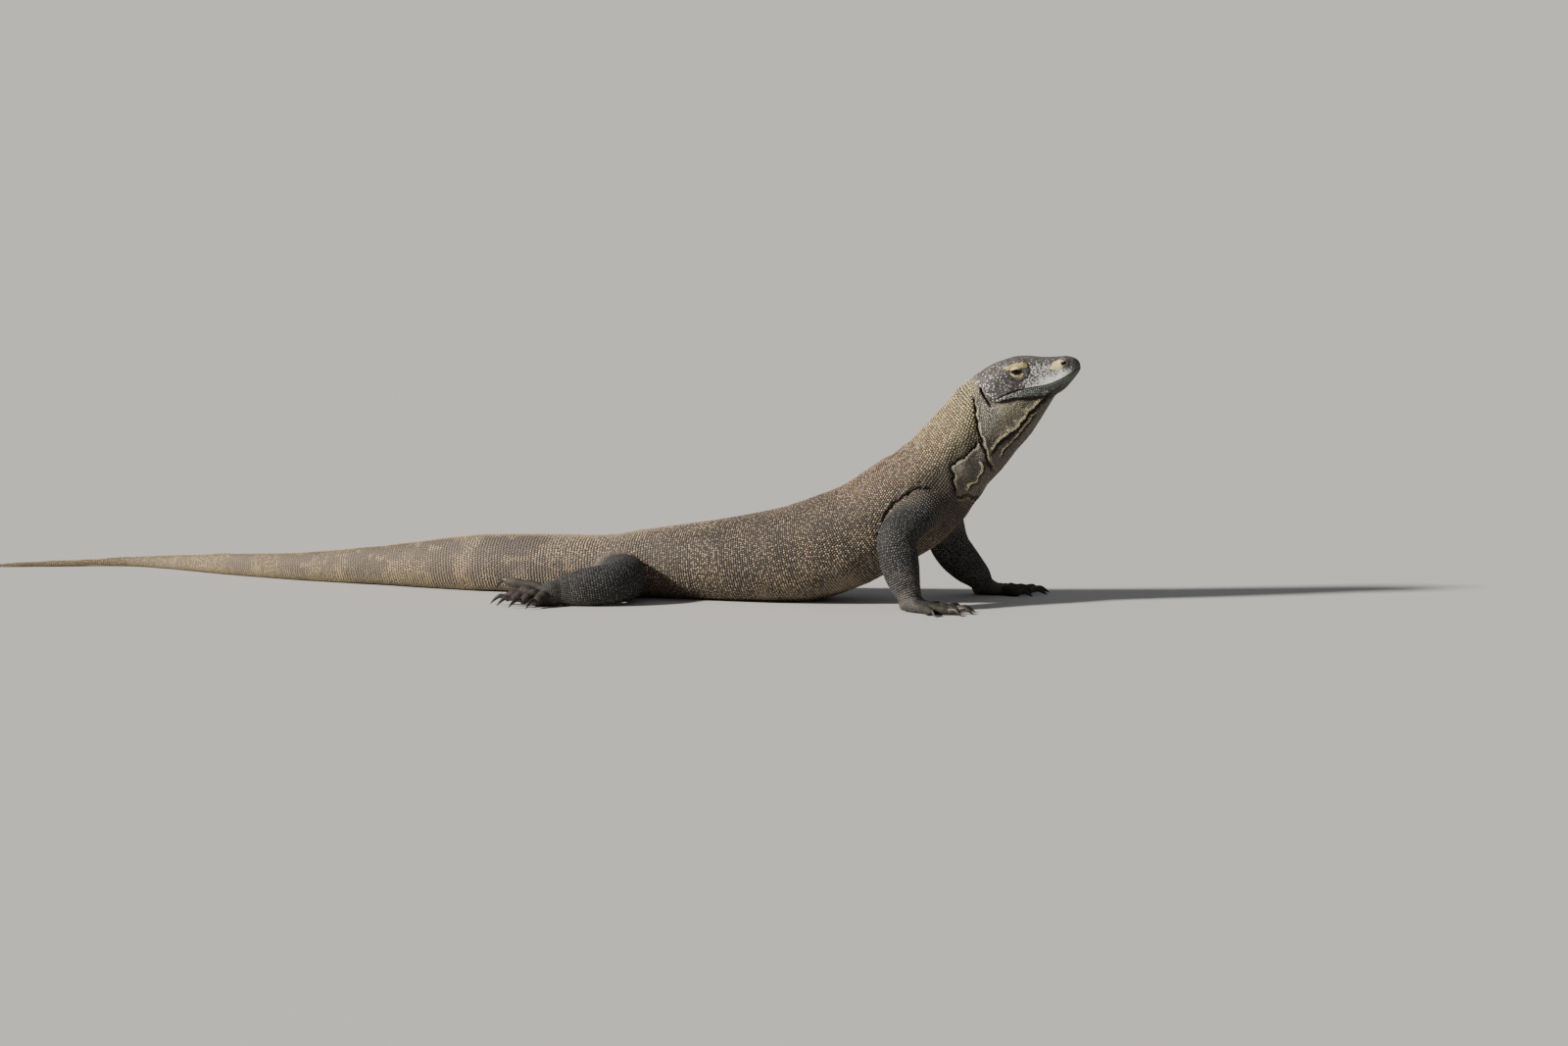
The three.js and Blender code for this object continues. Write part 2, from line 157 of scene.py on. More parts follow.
# A toe past its root: shares of its length, of the knuckle's and the tip's height, and of the radius for its
# half-width, rise and drop.
TOE_STATIONS = (
    (0.15, 0.95, 0, 0.86, 0.9, 1), (0.36, 1, 0, 0.98, 0.98, 1), (0.54, 0.62, 0.38, 0.80, 0.80, 0.95),
    (0.73, 0.45, 0.55, 0.93, 0.90, 1), (0.90, 0.1, 0.9, 0.78, 0.76, 0.88), (1, 0, 1, 0.70, 0.70, 0.80),
)
FOOT_TURNED_BACK = (FOOT[0], FOOT[1][:4] + ((34, 20, 34, 92, 37, 39, 18),), FOOT[2])
FEET = {"foreleg_right": HAND, "foreleg_left": HAND, "hindleg_right": FOOT_TURNED_BACK, "hindleg_left": FOOT}
CLAWS = {name: f"{name}_{'hand' if name.startswith('fore') else 'foot'}_claw_" for name in LEGS}

# Folds of loose skin on the right side: route, depth and half-width of the groove, and of the lip beside it
# its height, the side that it is on, seen along the route, and how pale its crest is painted, a painted
# highlight.
FOLDS = {
    "behind the jaw": (
        ((434, -36, 420), (440, -46, 403), (445, -53, 372), (451, -55, 348), (461, -51, 316), (466, -42, 290),
         (471, -10, 262)), 6.0, 3.2, 2.2, 1, 0.45),
    "side of the neck": (
        ((452, -56, 334), (446, -57, 322), (436, -60, 314), (421, -64, 298), (405, -68, 289), (399, -70, 280),
         (402, -68, 264), (403, -64, 239), (405, -52, 218)), 5.5, 3.2, 1.4, 1, 0.15),
    "under the jaw": (
        ((594, 14, 432), (580, 6, 424), (572, 2, 411), (555, -8, 396), (540, -15, 379), (528, -21, 363),
         (511, -28, 344), (495, -36, 333), (480, -41, 315), (468, -45, 303)), 6.5, 4.2, 3.2, -1, 1.0),
    "throat": (
        ((556, 4, 388), (539, -11, 363), (519, -18, 335), (501, -26, 316), (486, -24, 296)),
        4.2, 3.4, 2.2, -1, 0.9),
    "foot of the throat": (
        ((458, -49, 296), (459, -42, 277), (450, -40, 259), (442, -40, 248), (433, -44, 242),
         (426, -42, 230)), 3.2, 3.2, 2.4, -1, 1.0),
    "collar": (
        ((405, -52, 218), (414, -50, 219), (423, -42, 221), (430, -26, 217), (433, -11, 215), (434, 6, 214)),
        3.6, 3.6, 2.0, -1, 0.25),
    "shoulder": (
        ((262, -95, 166), (270, -95, 181), (280, -93, 198), (302, -89, 219), (325, -85, 235), (348, -81, 239),
         (370, -75, 231)), 4.6, 3.0, 0.9, 1, 0.0),
    "armpit": (((252, -92, 150), (262, -97, 134), (270, -98, 116)), 2.6, 3.2, 0.9, 1, 0.0),
}
# Height and x of the line on the neck that the throat's finer scales begin at.
THROAT_EDGE = ((214, 407), (239, 403), (267, 401), (283, 399), (289, 405), (298, 422), (314, 436), (322, 446),
               (334, 452), (348, 451), (372, 445), (403, 440), (420, 434), (440, 430))


# ------------------------ numbers

def unit(vectors):
    """Each vector divided by its length."""
    return vectors / np.maximum(np.linalg.norm(vectors, axis=-1, keepdims=True), 1e-12)


def ease(value, low, high):
    """0 below low, 1 above high, and 3t² - 2t³ between. low may be the larger, which turns it round."""
    t = np.clip((value - low) / (high - low), 0, 1)
    return t * t * (3 - 2 * t)


def bump(value, width):
    """1 at 0, falling to nothing on both sides as exp(-(value / width)²)."""
    return np.exp(-(value / width) ** 2)


def spline(points, u, even=False):
    """Catmull-Rom curve through the points, u counting them: cubics whose end slopes come from the points on
    both sides, weighted by the roots of their distances unless even."""
    points = np.asarray(points, float)
    padded = np.vstack((2 * points[0] - points[1], points, 2 * points[-1] - points[-2]))
    i = np.clip(np.floor(u).astype(int), 0, len(points) - 2)
    t = (u - i)[..., None]
    p0, p1, p2, p3 = (padded[i + k] for k in range(4))
    if even:
        m1, m2 = (p2 - p0) / 2, (p3 - p1) / 2
    else:
        pairs = ((p0, p1), (p1, p2), (p2, p3))
        gaps = (np.sqrt(np.linalg.norm(after - before, axis=-1, keepdims=True)) for before, after in pairs)
        a, b, c = (np.maximum(gap, 1e-6) for gap in gaps)
        m1 = ((p1 - p0) / a - (p2 - p0) / (a + b) + (p2 - p1) / b) * b
        m2 = ((p2 - p1) / b - (p3 - p1) / (b + c) + (p3 - p2) / c) * b
    return ((2 * t**3 - 3 * t**2 + 1) * p1 + (t**3 - 2 * t**2 + t) * m1
            + (3 * t**2 - 2 * t**3) * p2 + (t**3 - t**2) * m2)


def ripple(points, pitch, seed):
    """Smooth noise of about -1 to 1: the mean of eight sines in seeded directions, pitch metres long."""
    rng = np.random.default_rng(seed)
    ways = unit(rng.normal(size=(8, 3))) * rng.uniform(0.7, 1.5, (8, 1)) * 2 * np.pi / pitch
    return np.sin(points @ ways.T + rng.uniform(0, 2 * np.pi, 8)).sum(1) / 2.8


# ------------------------ tubes

class Tube:
    """A length of the animal round a curve: stations of x, y, z, half-width, rise and drop in millimetres."""

    SPREAD = 0.7  # stations to each side that a section's direction is taken over
    DETAIL = 12  # samples to a station
    THINNEST = 4e-4  # metres, the least half-width of a section

    def __init__(self, name, stations, lean=UP, square=2.0, axis=None):
        table = np.array(stations, float) * MM
        self.name, self.lean, self.square, self.axis = name, np.array(lean), square, axis
        self.centres, self.girths = table[:, :3], table[:, 3:]
        self.last = len(stations) - 1
        self.u = np.linspace(0, self.last, self.last * self.DETAIL + 1)
        self.line, self.girth = spline(self.centres, self.u), spline(self.girths, self.u, even=True)
        self.along, self.right, self.above = self.axes(self.u)
        steps = np.linalg.norm(np.diff(self.line, axis=0), axis=1)
        self.run = np.concatenate(([0], np.cumsum(steps)))  # metres from the first station
        self.length = self.run[-1]

    def axes(self, u):
        """Unit vectors along the chord from SPREAD stations behind to SPREAD ahead, across it, and above."""
        if self.axis is None:
            ahead = spline(self.centres, np.minimum(u + self.SPREAD, self.last))
            along = unit(ahead - spline(self.centres, np.maximum(u - self.SPREAD, 0)))
        else:
            along = np.broadcast_to(self.axis, (*u.shape, 3))
        right = unit(np.cross(along, self.lean))
        return along, right, np.cross(right, along)

    def surface(self, u, turn, inset, floor):
        """centre + right sign(sin turn) |sin turn|^(2/square) width + above sign(cos turn)
        |cos turn|^(2/square) rise, or drop where the cosine is negative. inset thins it, and what would be
        under floor is laid on it."""
        centre, girth = spline(self.centres, u), spline(self.girths, u, even=True)
        _, right, above = self.axes(u)
        sine, cosine = np.sin(turn), np.cos(turn)
        power = 2 / self.square
        x = np.sign(sine) * np.abs(sine) ** power * np.maximum(girth[..., 0] - inset, self.THINNEST)
        tall = np.where(cosine > 0, girth[..., 1], girth[..., 2])
        z = np.sign(cosine) * np.abs(cosine) ** power * np.maximum(tall - inset, self.THINNEST)
        place = centre + right * x[..., None] + above * z[..., None]
        place[..., 2] = np.maximum(place[..., 2], floor)
        return place

    def at(self, distance):
        """The station number at a distance in metres along the tube."""
        return np.interp(distance, self.run, self.u)

    def girth_round(self, u):
        """Metres round the section at u: the ellipse's 2 pi sqrt((a² + b²) / 2)."""
        g = spline(self.girths, u, even=True)
        return 2 * np.pi * np.sqrt((g[..., 0] ** 2 + ((g[..., 1] + g[..., 2]) / 2) ** 2) / 2)

    def measure(self, points):
        """For each point: metres along the tube, turn round it, and metres outside its surface."""
        squares = (points**2).sum(1)[:, None] - 2 * points @ self.line.T + (self.line**2).sum(1)
        k = squares.argmin(1)
        off = points - self.line[k]
        x, z = (off * self.right[k]).sum(1), (off * self.above[k]).sum(1)
        wide = self.girth[k, 0]
        tall = np.where(z > 0, self.girth[k, 1], self.girth[k, 2])
        reach = ((np.abs(x) / wide) ** self.square + (np.abs(z) / tall) ** self.square) ** (1 / self.square)
        ahead = (off * self.along[k]).sum(1)
        past = np.maximum(np.maximum(-ahead * (k == 0), ahead * (k == len(self.u) - 1)), 0)
        outside = (np.hypot(np.maximum(reach - 1, 0) * (wide + tall) / 2, past)
                   + np.minimum(reach - 1, 0) * wide)
        return np.clip(self.run[k] + ahead, 0, self.length), np.arctan2(x / wide, z / tall), outside


# The turn of the head's frame, pitched up and then turned to the left.
HEAD_TURN = np.array((
    (math.cos(HEAD_YAW), -math.sin(HEAD_YAW), 0),
    (math.sin(HEAD_YAW), math.cos(HEAD_YAW), 0),
    (0, 0, 1),
)) @ np.array((
    (math.cos(HEAD_PITCH), 0, -math.sin(HEAD_PITCH)),
    (0, 1, 0),
    (math.sin(HEAD_PITCH), 0, math.cos(HEAD_PITCH)),
))


def on_head(back, left, above):
    """A place given in millimetres back from the snout, to the left and above the head's axis."""
    spot = np.stack(np.broadcast_arrays(-np.asarray(back, float), left, above), -1) * MM
    return spot @ HEAD_TURN.T + SNOUT


def from_head(points):
    """Millimetres back, left and above for places in the row's frame: on_head undone."""
    spot = (points - SNOUT) @ HEAD_TURN / MM
    return -spot[..., 0], spot[..., 1], spot[..., 2]


def head_tube():
    """The head's own tube, whose sections stand square to its axis."""
    rows = []
    for back, width, crown, jaw in HEAD:
        x, y, z = on_head(back, 0, (crown + jaw) / 2) / MM
        rows.append((x, y, z, width, (crown - jaw) / 2, (crown - jaw) / 2))
    return Tube("head", rows, square=2.5, axis=HEAD_TURN[:, 0])


def foot_tubes(name):
    """The sole and the toes of one foot, and for each toe the curve of its claw."""
    x, y, turn = LEGS[name][2]
    sole, toes, radius = FEET[name]
    side = LEFT if name.endswith("left") else RIGHT
    c, s = math.cos(math.radians(turn)), math.sin(math.radians(turn))

    def at(forward, out, z):
        return (x + c * forward - s * out * side, y + s * forward + c * out * side, z)

    stations = [(*at(forward, 0, high - 3), width, rise, rise) for forward, width, high, rise in sole]
    tubes = [Tube(f"{name}_sole", stations, square=2.3)]
    claws = []
    for number, (forward, out, way, length, knuckle, tip, hook) in enumerate(toes):
        cw, sw = math.cos(math.radians(way)), math.sin(math.radians(way))

        def along(d, z):
            return at(forward + d * cw, out + d * sw, z)

        root = (*along(-14, max(10, knuckle * 0.7)), radius * 0.9, radius, radius)
        tubes.append(Tube(f"{name}_toe_{number + 1}", [root] + [
            (*along(length * share, knuckle * high + tip * low), radius * width, radius * rise, radius * drop)
            for share, high, low, width, rise, drop in TOE_STATIONS], square=2.2))
        claws.append(Tube(f"{name}_claw_{number + 1}", [
            (*along(length - 5, tip), 3.9, 5.6, 5.4),
            (*along(length + CLAW_LENGTH * 0.4, tip + 2.5), 3.2, 4.6, 4.6),
            (*along(length + CLAW_LENGTH * 0.75, tip - hook * 0.35), 2.1, 3, 3),
            (*along(length + CLAW_LENGTH, tip - hook), 0.5, 0.7, 0.7)]))
    return tubes, claws


BODY_TUBE = Tube("body", BODY, square=2.15)
HEAD_TUBE = head_tube()
LEG_TUBES = {name: Tube(name, rows, lean, square=2.1) for name, (lean, rows, _) in LEGS.items()}
FOOT_TUBES = {name: foot_tubes(name) for name in LEGS}
TUBES = [BODY_TUBE, HEAD_TUBE]
for leg in LEGS:
    TUBES += [LEG_TUBES[leg], *FOOT_TUBES[leg][0]]
TUBE_NAMES = np.array([tube.name for tube in TUBES])
IS_TOE = np.char.find(TUBE_NAMES, "toe") >= 0
IS_FOOT = IS_TOE | (np.char.find(TUBE_NAMES, "sole") >= 0)
IS_LEG = ~np.isin(TUBE_NAMES, ("body", "head"))


# ------------------------ meshes

def tube_grid(tube, rings, sides, inset, floor):
    """Vertices and faces of a closed tube: rings of sides, and a flat many-sided face on each end."""
    u = np.linspace(0, tube.last, rings)[:, None]
    turn = np.linspace(0, 2 * np.pi, sides, endpoint=False)[None, :]
    u, turn = np.broadcast_arrays(u, turn)
    place = tube.surface(u, turn, inset, floor).reshape(-1, 3)
    i = np.arange(rings - 1)[:, None] * sides
    j = np.arange(sides)
    k = (j + 1) % sides
    quads = np.stack((i + j, i + k, i + k + sides, i + j + sides), -1).reshape(-1, 4)
    faces = quads.tolist() + [j[::-1].tolist(), ((rings - 1) * sides + j).tolist()]
    return place, faces


def ball_grid(centre, radii, turn, rings=12, sides=20):
    """Vertices and faces of an ellipsoid: centre + turn (rx sin a cos b, ry sin a sin b, rz cos a)."""
    a = np.linspace(0, np.pi, rings + 1)[1:-1, None]
    b = np.linspace(0, 2 * np.pi, sides, endpoint=False)[None, :]
    shape = np.stack((np.sin(a) * np.cos(b), np.sin(a) * np.sin(b), np.cos(a) + 0 * b), -1).reshape(-1, 3)
    shape = np.vstack((shape, ((0, 0, 1), (0, 0, -1)))) * radii
    i = np.arange(rings - 2)[:, None] * sides
    j = np.arange(sides)
    k = (j + 1) % sides
    quads = np.stack((i + j, i + j + sides, i + k + sides, i + k), -1).reshape(-1, 4).tolist()
    top, low = len(shape) - 2, len(shape) - 1
    far = (rings - 2) * sides
    caps = [(top, p, q) for p, q in zip(j.tolist(), k.tolist())]
    caps += [(low, far + q, far + p) for p, q in zip(j.tolist(), k.tolist())]
    return shape @ np.asarray(turn).T + centre, quads + caps


def joined(shapes):
    """Several (vertices, faces) as one."""
    places, faces, start = [], [], 0
    for place, some in shapes:
        places.append(place)
        faces += [[v + start for v in face] for face in some]
        start += len(place)
    return np.vstack(places), faces


def new_piece(name, mesh, *nodes, slot=None):
    """An object for a finished mesh. It rides on the body and stands for the given solids."""
    piece = bpy.data.objects.new(name, mesh)
    bpy.context.scene.collection.objects.link(piece)
    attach(piece, "root")
    if nodes:
        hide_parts(*nodes)
    return piece


def mesh_of(name, place, faces, smooth=True):
    mesh = bpy.data.meshes.new(name)
    mesh.from_pydata(place.tolist() if isinstance(place, np.ndarray) else place, [], faces)
    mesh.update()
    mesh.polygons.foreach_set("use_smooth", np.full(len(mesh.polygons), smooth))
    return mesh


def places_of(mesh):
    co = np.empty(len(mesh.vertices) * 3, np.float32)
    mesh.vertices.foreach_get("co", co)
    return co.reshape(-1, 3).astype(float)


def move_to(mesh, place):
    mesh.vertices.foreach_set("co", place.astype(np.float32).ravel())
    mesh.update()


def normals_of(mesh):
    normal = np.empty(len(mesh.vertices) * 3, np.float32)
    mesh.vertex_normals.foreach_get("vector", normal)
    return normal.reshape(-1, 3).astype(float)


def mark(mesh, name, values):
    """Stores one number for each vertex as a named attribute."""
    attribute = mesh.attributes.new(name, "FLOAT", "POINT")
    attribute.data.foreach_set("value", np.asarray(values, np.float32))


def with_modifier(mesh, kind, **settings):
    """The mesh after one modifier."""
    carrier = bpy.data.objects.new("carrier", mesh)
    bpy.context.scene.collection.objects.link(carrier)
    groups = settings.pop("weights", None)
    if groups is not None:
        group = carrier.vertex_groups.new(name="weights")
        for weight in np.unique(groups):
            group.add(np.flatnonzero(groups == weight).tolist(), float(weight), "REPLACE")
        settings["vertex_group"] = "weights"
    modifier = carrier.modifiers.new(kind, kind)
    for key, value in settings.items():
        setattr(modifier, key, value)
    depsgraph = bpy.context.evaluated_depsgraph_get()
    done = bpy.data.meshes.new_from_object(carrier.evaluated_get(depsgraph))
    bpy.data.objects.remove(carrier)
    bpy.data.meshes.remove(mesh)
    return done


def relax(mesh, weight, rounds, back=0.0):
    """Each vertex moves by its weight half-way to the mean of its neighbours, rounds times. back is the share
    of that step that is then undone, which keeps the volume."""
    ends = np.empty(len(mesh.edges) * 2, np.int32)
    mesh.edges.foreach_get("vertices", ends)
    a, b = ends.reshape(-1, 2).T
    place = places_of(mesh)
    n = len(place)
    count = np.maximum(np.bincount(a, minlength=n) + np.bincount(b, minlength=n), 1)[:, None]
    for _ in range(rounds):
        for pull in ((0.5, -0.5 * back) if back else (0.5,)):
            mean = np.stack([np.bincount(a, place[b, k], n) + np.bincount(b, place[a, k], n)
                             for k in range(3)], 1) / count
            place += pull * weight[:, None] * (mean - place)
    move_to(mesh, place)


def refine(mesh, wanted):
    """Cuts in four the faces round every vertex for which wanted is true."""
    work = bmesh.new()
    work.from_mesh(mesh)
    work.verts.ensure_lookup_table()
    edges = [e for e in work.edges if wanted[e.verts[0].index] and wanted[e.verts[1].index]]
    bmesh.ops.subdivide_edges(work, edges=edges, cuts=1, use_grid_fill=True)
    work.to_mesh(mesh)
    work.free()
    mesh.update()


# ------------------------ where things are on the animal

def eye_axes(side):
    """The eye's line of sight, up and ahead, in the head's frame. side is LEFT or RIGHT."""
    ahead, rise = LINE_OF_SIGHT
    sight = unit(np.stack((np.full_like(side, ahead), side, np.full_like(side, rise)), 1))
    up = unit(np.array((0.0, 0, 1)) - sight * sight[:, 2:])
    return sight, up, unit(np.array((1.0, 0, 0)) - sight * sight[:, :1] - up * up[:, :1])


class Spots:
    """What there is to know about points on the skin: the nearest tube, the place on it, and the marks."""

    FAR = 0.2  # metres, where a tube is too far away to be measured
    CHUNK = 20000  # points measured at a time, to spare memory

    def __init__(self, points):
        self.points = points
        n = len(points)
        self.back, self.left, self.above = from_head(points)
        self.out = np.abs(self.left)
        self.tube = np.zeros(n, int)
        self.run, self.turn = np.zeros(n), np.zeros(n)
        self.body_run, self.body_turn = np.zeros(n), np.zeros(n)
        self.gap = np.full(n, np.inf)  # metres outside the nearest tube, negative inside
        self.from_body, self.from_head, self.from_legs = (np.full(n, self.FAR) for _ in range(3))
        for number, tube in enumerate(TUBES):
            reach = tube.girths.max() + 0.03
            low, high = tube.line.min(0) - reach, tube.line.max(0) + reach
            near = np.arange(n)
            if tube is not BODY_TUBE:
                near = np.flatnonzero(((points > low) & (points < high)).all(1))
            for chunk in np.array_split(near, len(near) // self.CHUNK + 1):
                if len(chunk):
                    self.measure(number, tube, chunk)
        self.names = TUBE_NAMES[self.tube]
        self.leg, self.foot, self.toe = (flag[self.tube] for flag in (IS_LEG, IS_FOOT, IS_TOE))
        self.on_face = self.names == "head"

    def measure(self, number, tube, chunk):
        """Measures some of the points from one tube, and notes where it is the nearest so far."""
        run, turn, outside = tube.measure(self.points[chunk])
        if tube is HEAD_TUBE:
            outside = np.minimum(outside, self.from_swellings(chunk))
            self.from_head[chunk] = outside
        elif tube is BODY_TUBE:
            self.from_body[chunk] = outside
            self.body_run[chunk], self.body_turn[chunk] = run - TAIL_END, turn
        elif tube.name in LEG_TUBES:
            self.from_legs[chunk] = np.minimum(self.from_legs[chunk], outside)
        closer = outside < self.gap[chunk]
        took = chunk[closer]
        self.tube[took], self.run[took], self.turn[took] = number, run[closer], turn[closer]
        self.gap[took] = outside[closer]

    def from_swellings(self, chunk):
        """Metres outside the nearest swelling: |q| (|q| - 1) / |q / radii|, where q is the place / radii."""
        least = np.full(len(chunk), self.FAR)
        for back, out, above, *radii in HEAD_SWELLINGS.values():
            off = np.stack((self.back[chunk] - back, self.out[chunk] - out, self.above[chunk] - above), 1)
            q = off / radii
            size = np.linalg.norm(q, axis=1)
            over = np.maximum(np.linalg.norm(q / radii, axis=1), 1e-9)
            least = np.minimum(least, size * (size - 1) / over * MM)
        return least

    @cached_property
    def wavy(self):
        """Millimetres that the soft edges of the face's marks wander by."""
        return 2.5 * ripple(self.points, 0.013, 5)

    @cached_property
    def rough(self):
        """Millimetres that the ragged edges of the face's marks wander by."""
        return self.wavy + 2.5 * ripple(self.points, 0.005, 6)

    @cached_property
    def eye_angles(self):
        """Turns from the nearer eye's line of sight, forward, up and in all, and millimetres from it."""
        side = np.where(self.left > 0, 1.0, -1.0)
        off = np.stack((EYE[0] - self.back, self.left - side * EYE[1], self.above - EYE[2]), 1)
        sight, up, ahead = eye_axes(side)
        reach = np.linalg.norm(off, axis=1)
        out = (off * sight).sum(1)
        forward = np.arctan2((off * ahead).sum(1), out)
        upward = np.arctan2((off * up).sum(1), np.hypot(out, (off * ahead).sum(1)))
        return forward, upward, np.arccos(np.clip(out / np.maximum(reach, 1e-6), -1, 1)), reach

    @cached_property
    def eye_opening(self):
        """|forward / wide|^power + |upward / tall|^power, below 1 between the lids. tall is the upper lid's
        or the lower one's, and the front corner is the lower one."""
        forward, upward, turn, reach = self.eye_angles
        upward = upward - LIDS_LOW + LIDS_TILT * forward
        tall = np.radians(np.where(upward > 0, LIDS_UP, LIDS_DOWN))
        wide = math.radians(LIDS_WIDE)
        almond = np.abs(forward / wide) ** LIDS_POWER + np.abs(upward / tall) ** LIDS_POWER
        return np.where((turn < 1.5) & (reach < 25), almond, 9)

    @cached_property
    def nostril(self):
        """Below 1 inside the nostril: an ellipse 13 by 7 mm seen from the side, tilted down to the front."""
        back, above = self.back - NOSTRIL[0], self.above - NOSTRIL[1]
        c, s = math.cos(math.radians(12)), math.sin(math.radians(12))
        x, z = back * c + above * s, above * c - back * s
        return np.where(self.out > 15, (x / 6.5) ** 2 + (z / 3.6) ** 2, 9)

    @cached_property
    def ear(self):
        """Millimetres from the curved slit of the ear, seen from the side, and far elsewhere."""
        route = np.array(EAR, float)
        line = spline(route, np.linspace(0, len(route) - 1, 24))
        away = np.hypot(self.back[:, None] - line[:, 0], self.above[:, None] - line[:, 1]).min(1)
        return np.where(self.out > 25, away, 99)

    @cached_property
    def over_mouth(self):
        """Millimetres above the line between the lips, and 1 along the mouth, falling to 0 behind it."""
        line = spline(np.array(MOUTH, float), np.linspace(0, len(MOUTH) - 1, 60))
        return self.above - np.interp(self.back, line[:, 0], line[:, 1]), ease(self.back, 181, 172)

    @cached_property
    def orbit_crease(self):
        """1 along the crease that rings the eye's socket in front and below, and 0 away from it."""
        reach = np.hypot(self.back - ORBIT[0], self.above - ORBIT[1])
        way = np.arctan2(self.above - ORBIT[1], ORBIT[0] - self.back)
        return bump(reach - ORBIT_RADIUS, 1.5) * ease(np.cos(way + 1.05), -0.25, 0.15) * (self.out > 15)

    @cached_property
    def jaw_edge(self):
        """Millimetres from the line between the lips down to the edge of the jaw."""
        return np.interp(self.back, (60, 90, 120, 150, 180), (26.0, 24.5, 20.0, 13.5, 8.0))

    @cached_property
    def jaw_groove(self):
        """1 at the bottom of the groove between the jaw and the throat, falling off over 4 mm."""
        ends = ease(self.back, 186, 168) * ease(self.back, 30, 60) * ease(self.out, 8, 16)
        off = self.over_mouth[0] + self.jaw_edge
        return bump(off, np.where(off < 0, 5.5, 3.6)) * ends * (self.from_head < 0.03)

    @cached_property
    def throat(self):
        """1 on the soft skin in front of the folds of the neck, which has finer scales, and 0 elsewhere."""
        edge = np.interp(self.points[:, 2] / MM, *zip(*THROAT_EDGE))
        front = ease(self.points[:, 0] / MM - edge + 1.5 * ripple(self.points, 0.02, 7), -2.5, 2.5)
        low = self.points[:, 2] + 0.006 * ripple(self.points, 0.012, 8)
        return front * ease(low, 0.203, 0.229) * (self.names == "body")

    @cached_property
    def face(self):
        """1 on the head, down to the jaw's edge, and 0 on the neck and throat."""
        over, edge, skull = self.over_mouth[0], self.jaw_edge, ~self.leg
        head = ease(self.from_body - self.from_head, -0.006, 0.004)
        head = head * ease(self.back + self.wavy * 2, 222, 196) * skull
        jaw = ease(over, 0.5 - edge, 3 - edge) * (over < 4)
        jaw = jaw * ease(self.back, 183, 176) * ease(self.out, 12, 18)
        return np.maximum(head, jaw * skull)

    def cream(self):
        """1 on the cream marks: a wedge on the brow, the lower lid, and the swelling behind the nostril."""
        back, above, rough, opening = self.back, self.above, self.rough, self.eye_opening
        low = 32.3 + (back - 100) * 0.09
        high = np.interp(back, (96, 109, 126, 141), (41, 44.5, 45.7, 44.8))
        brow = ease(above + rough * 0.2, low - 0.8, low + 0.8)
        brow = brow * ease(above + rough * 0.4, high + 1.2, high - 1.2)
        brow = brow * ease(back + rough * 0.5, 95.5, 98.5) * ease(back + rough, 145, 139)
        brow = brow * ease(self.out, 22, 27)
        level = above - EYE[2] + LIDS_TILT * (EYE[0] - back)
        crescent = np.hypot((back - EYE[0] + 1.5) / 12.5, level / 10.8)
        lower_lid = ease(opening, 1.1, 1.25) * ease(crescent, 1.06, 0.94)
        lower_lid = lower_lid * ease(level, -0.5, -2.5) * (opening < 9)
        patch = ease(np.hypot((back - 43) / 13, (above - 17.0) / 8) + rough * 0.07, 1.1, 0.85)
        return np.clip(brow + lower_lid + patch * ease(self.out, 12, 20), 0, 1)

    def lip(self):
        """1 on the green-grey band of the lower lip, and on the edge of the upper lip near the snout."""
        back, over, wavy, band = self.back, self.over_mouth[0], self.wavy, self.lip_band()
        lip = ease(over, -0.2, -1) * ease(over + wavy * 0.5, -2 - band, 2 - band)
        lip = lip * ease(back + wavy * 3, 172, 110)
        return np.clip(lip + 0.8 * ease(over, 0.2, 1) * ease(over + wavy, 14, 8) * ease(back, 40, 22), 0, 1)

    def lip_band(self):
        """Millimetres from the line between the lips down to the lower edge of the lip's own colour."""
        return np.interp(self.back, (0, 20, 66, 87, 110), (12, 12, 9, 15, 30))

    def specks(self):
        """How thick the white specks are: most on the upper lip and the snout's side."""
        back, above, rough, over = self.back, self.above, self.rough, self.over_mouth[0]
        top = np.interp(back, (5, 28, 45, 60, 72, 91, 100, 112, 122), (-2, 8, 18, 24, 29, 35, 33, 22, 10))
        orbit = ease(np.hypot(back - ORBIT[0], above - ORBIT[1]), 20, 23)
        snout = ease(top - above + rough, -4, 4) * ease(back + rough, 122, 112)
        snout = snout * ease(back, 8, 24) * (over > 0)
        solid = ease(over - np.interp(back, (20, 42, 79, 110, 120), (11, 14, 15, 8, 4)) + rough, 5, -4)
        snout = snout * (0.50 + 0.42 * solid) * orbit
        temple = sum(bump(np.hypot((back - b + rough) / wide, (above - a + self.wavy) / tall), 1.0)
                     for b, a, wide, tall in TEMPLE_SPECKS)
        temple = (0.04 + 0.38 * np.minimum(temple, 1)) * ease(back, 126, 140) * orbit
        chin = ease(over, 0.5, -0.5) * (0.03 + 0.55 * ease(back, 70, 120))
        chin = chin * ease(over, -self.jaw_edge, 5 - self.jaw_edge)
        return np.clip(snout + temple * (over > -1) + chin + 0.03, 0, 1)

    def lids(self):
        """1 on the dark rim of the lids."""
        return ease(self.eye_opening, 1.28, 1.08) * (self.eye_opening < 3) * self.face

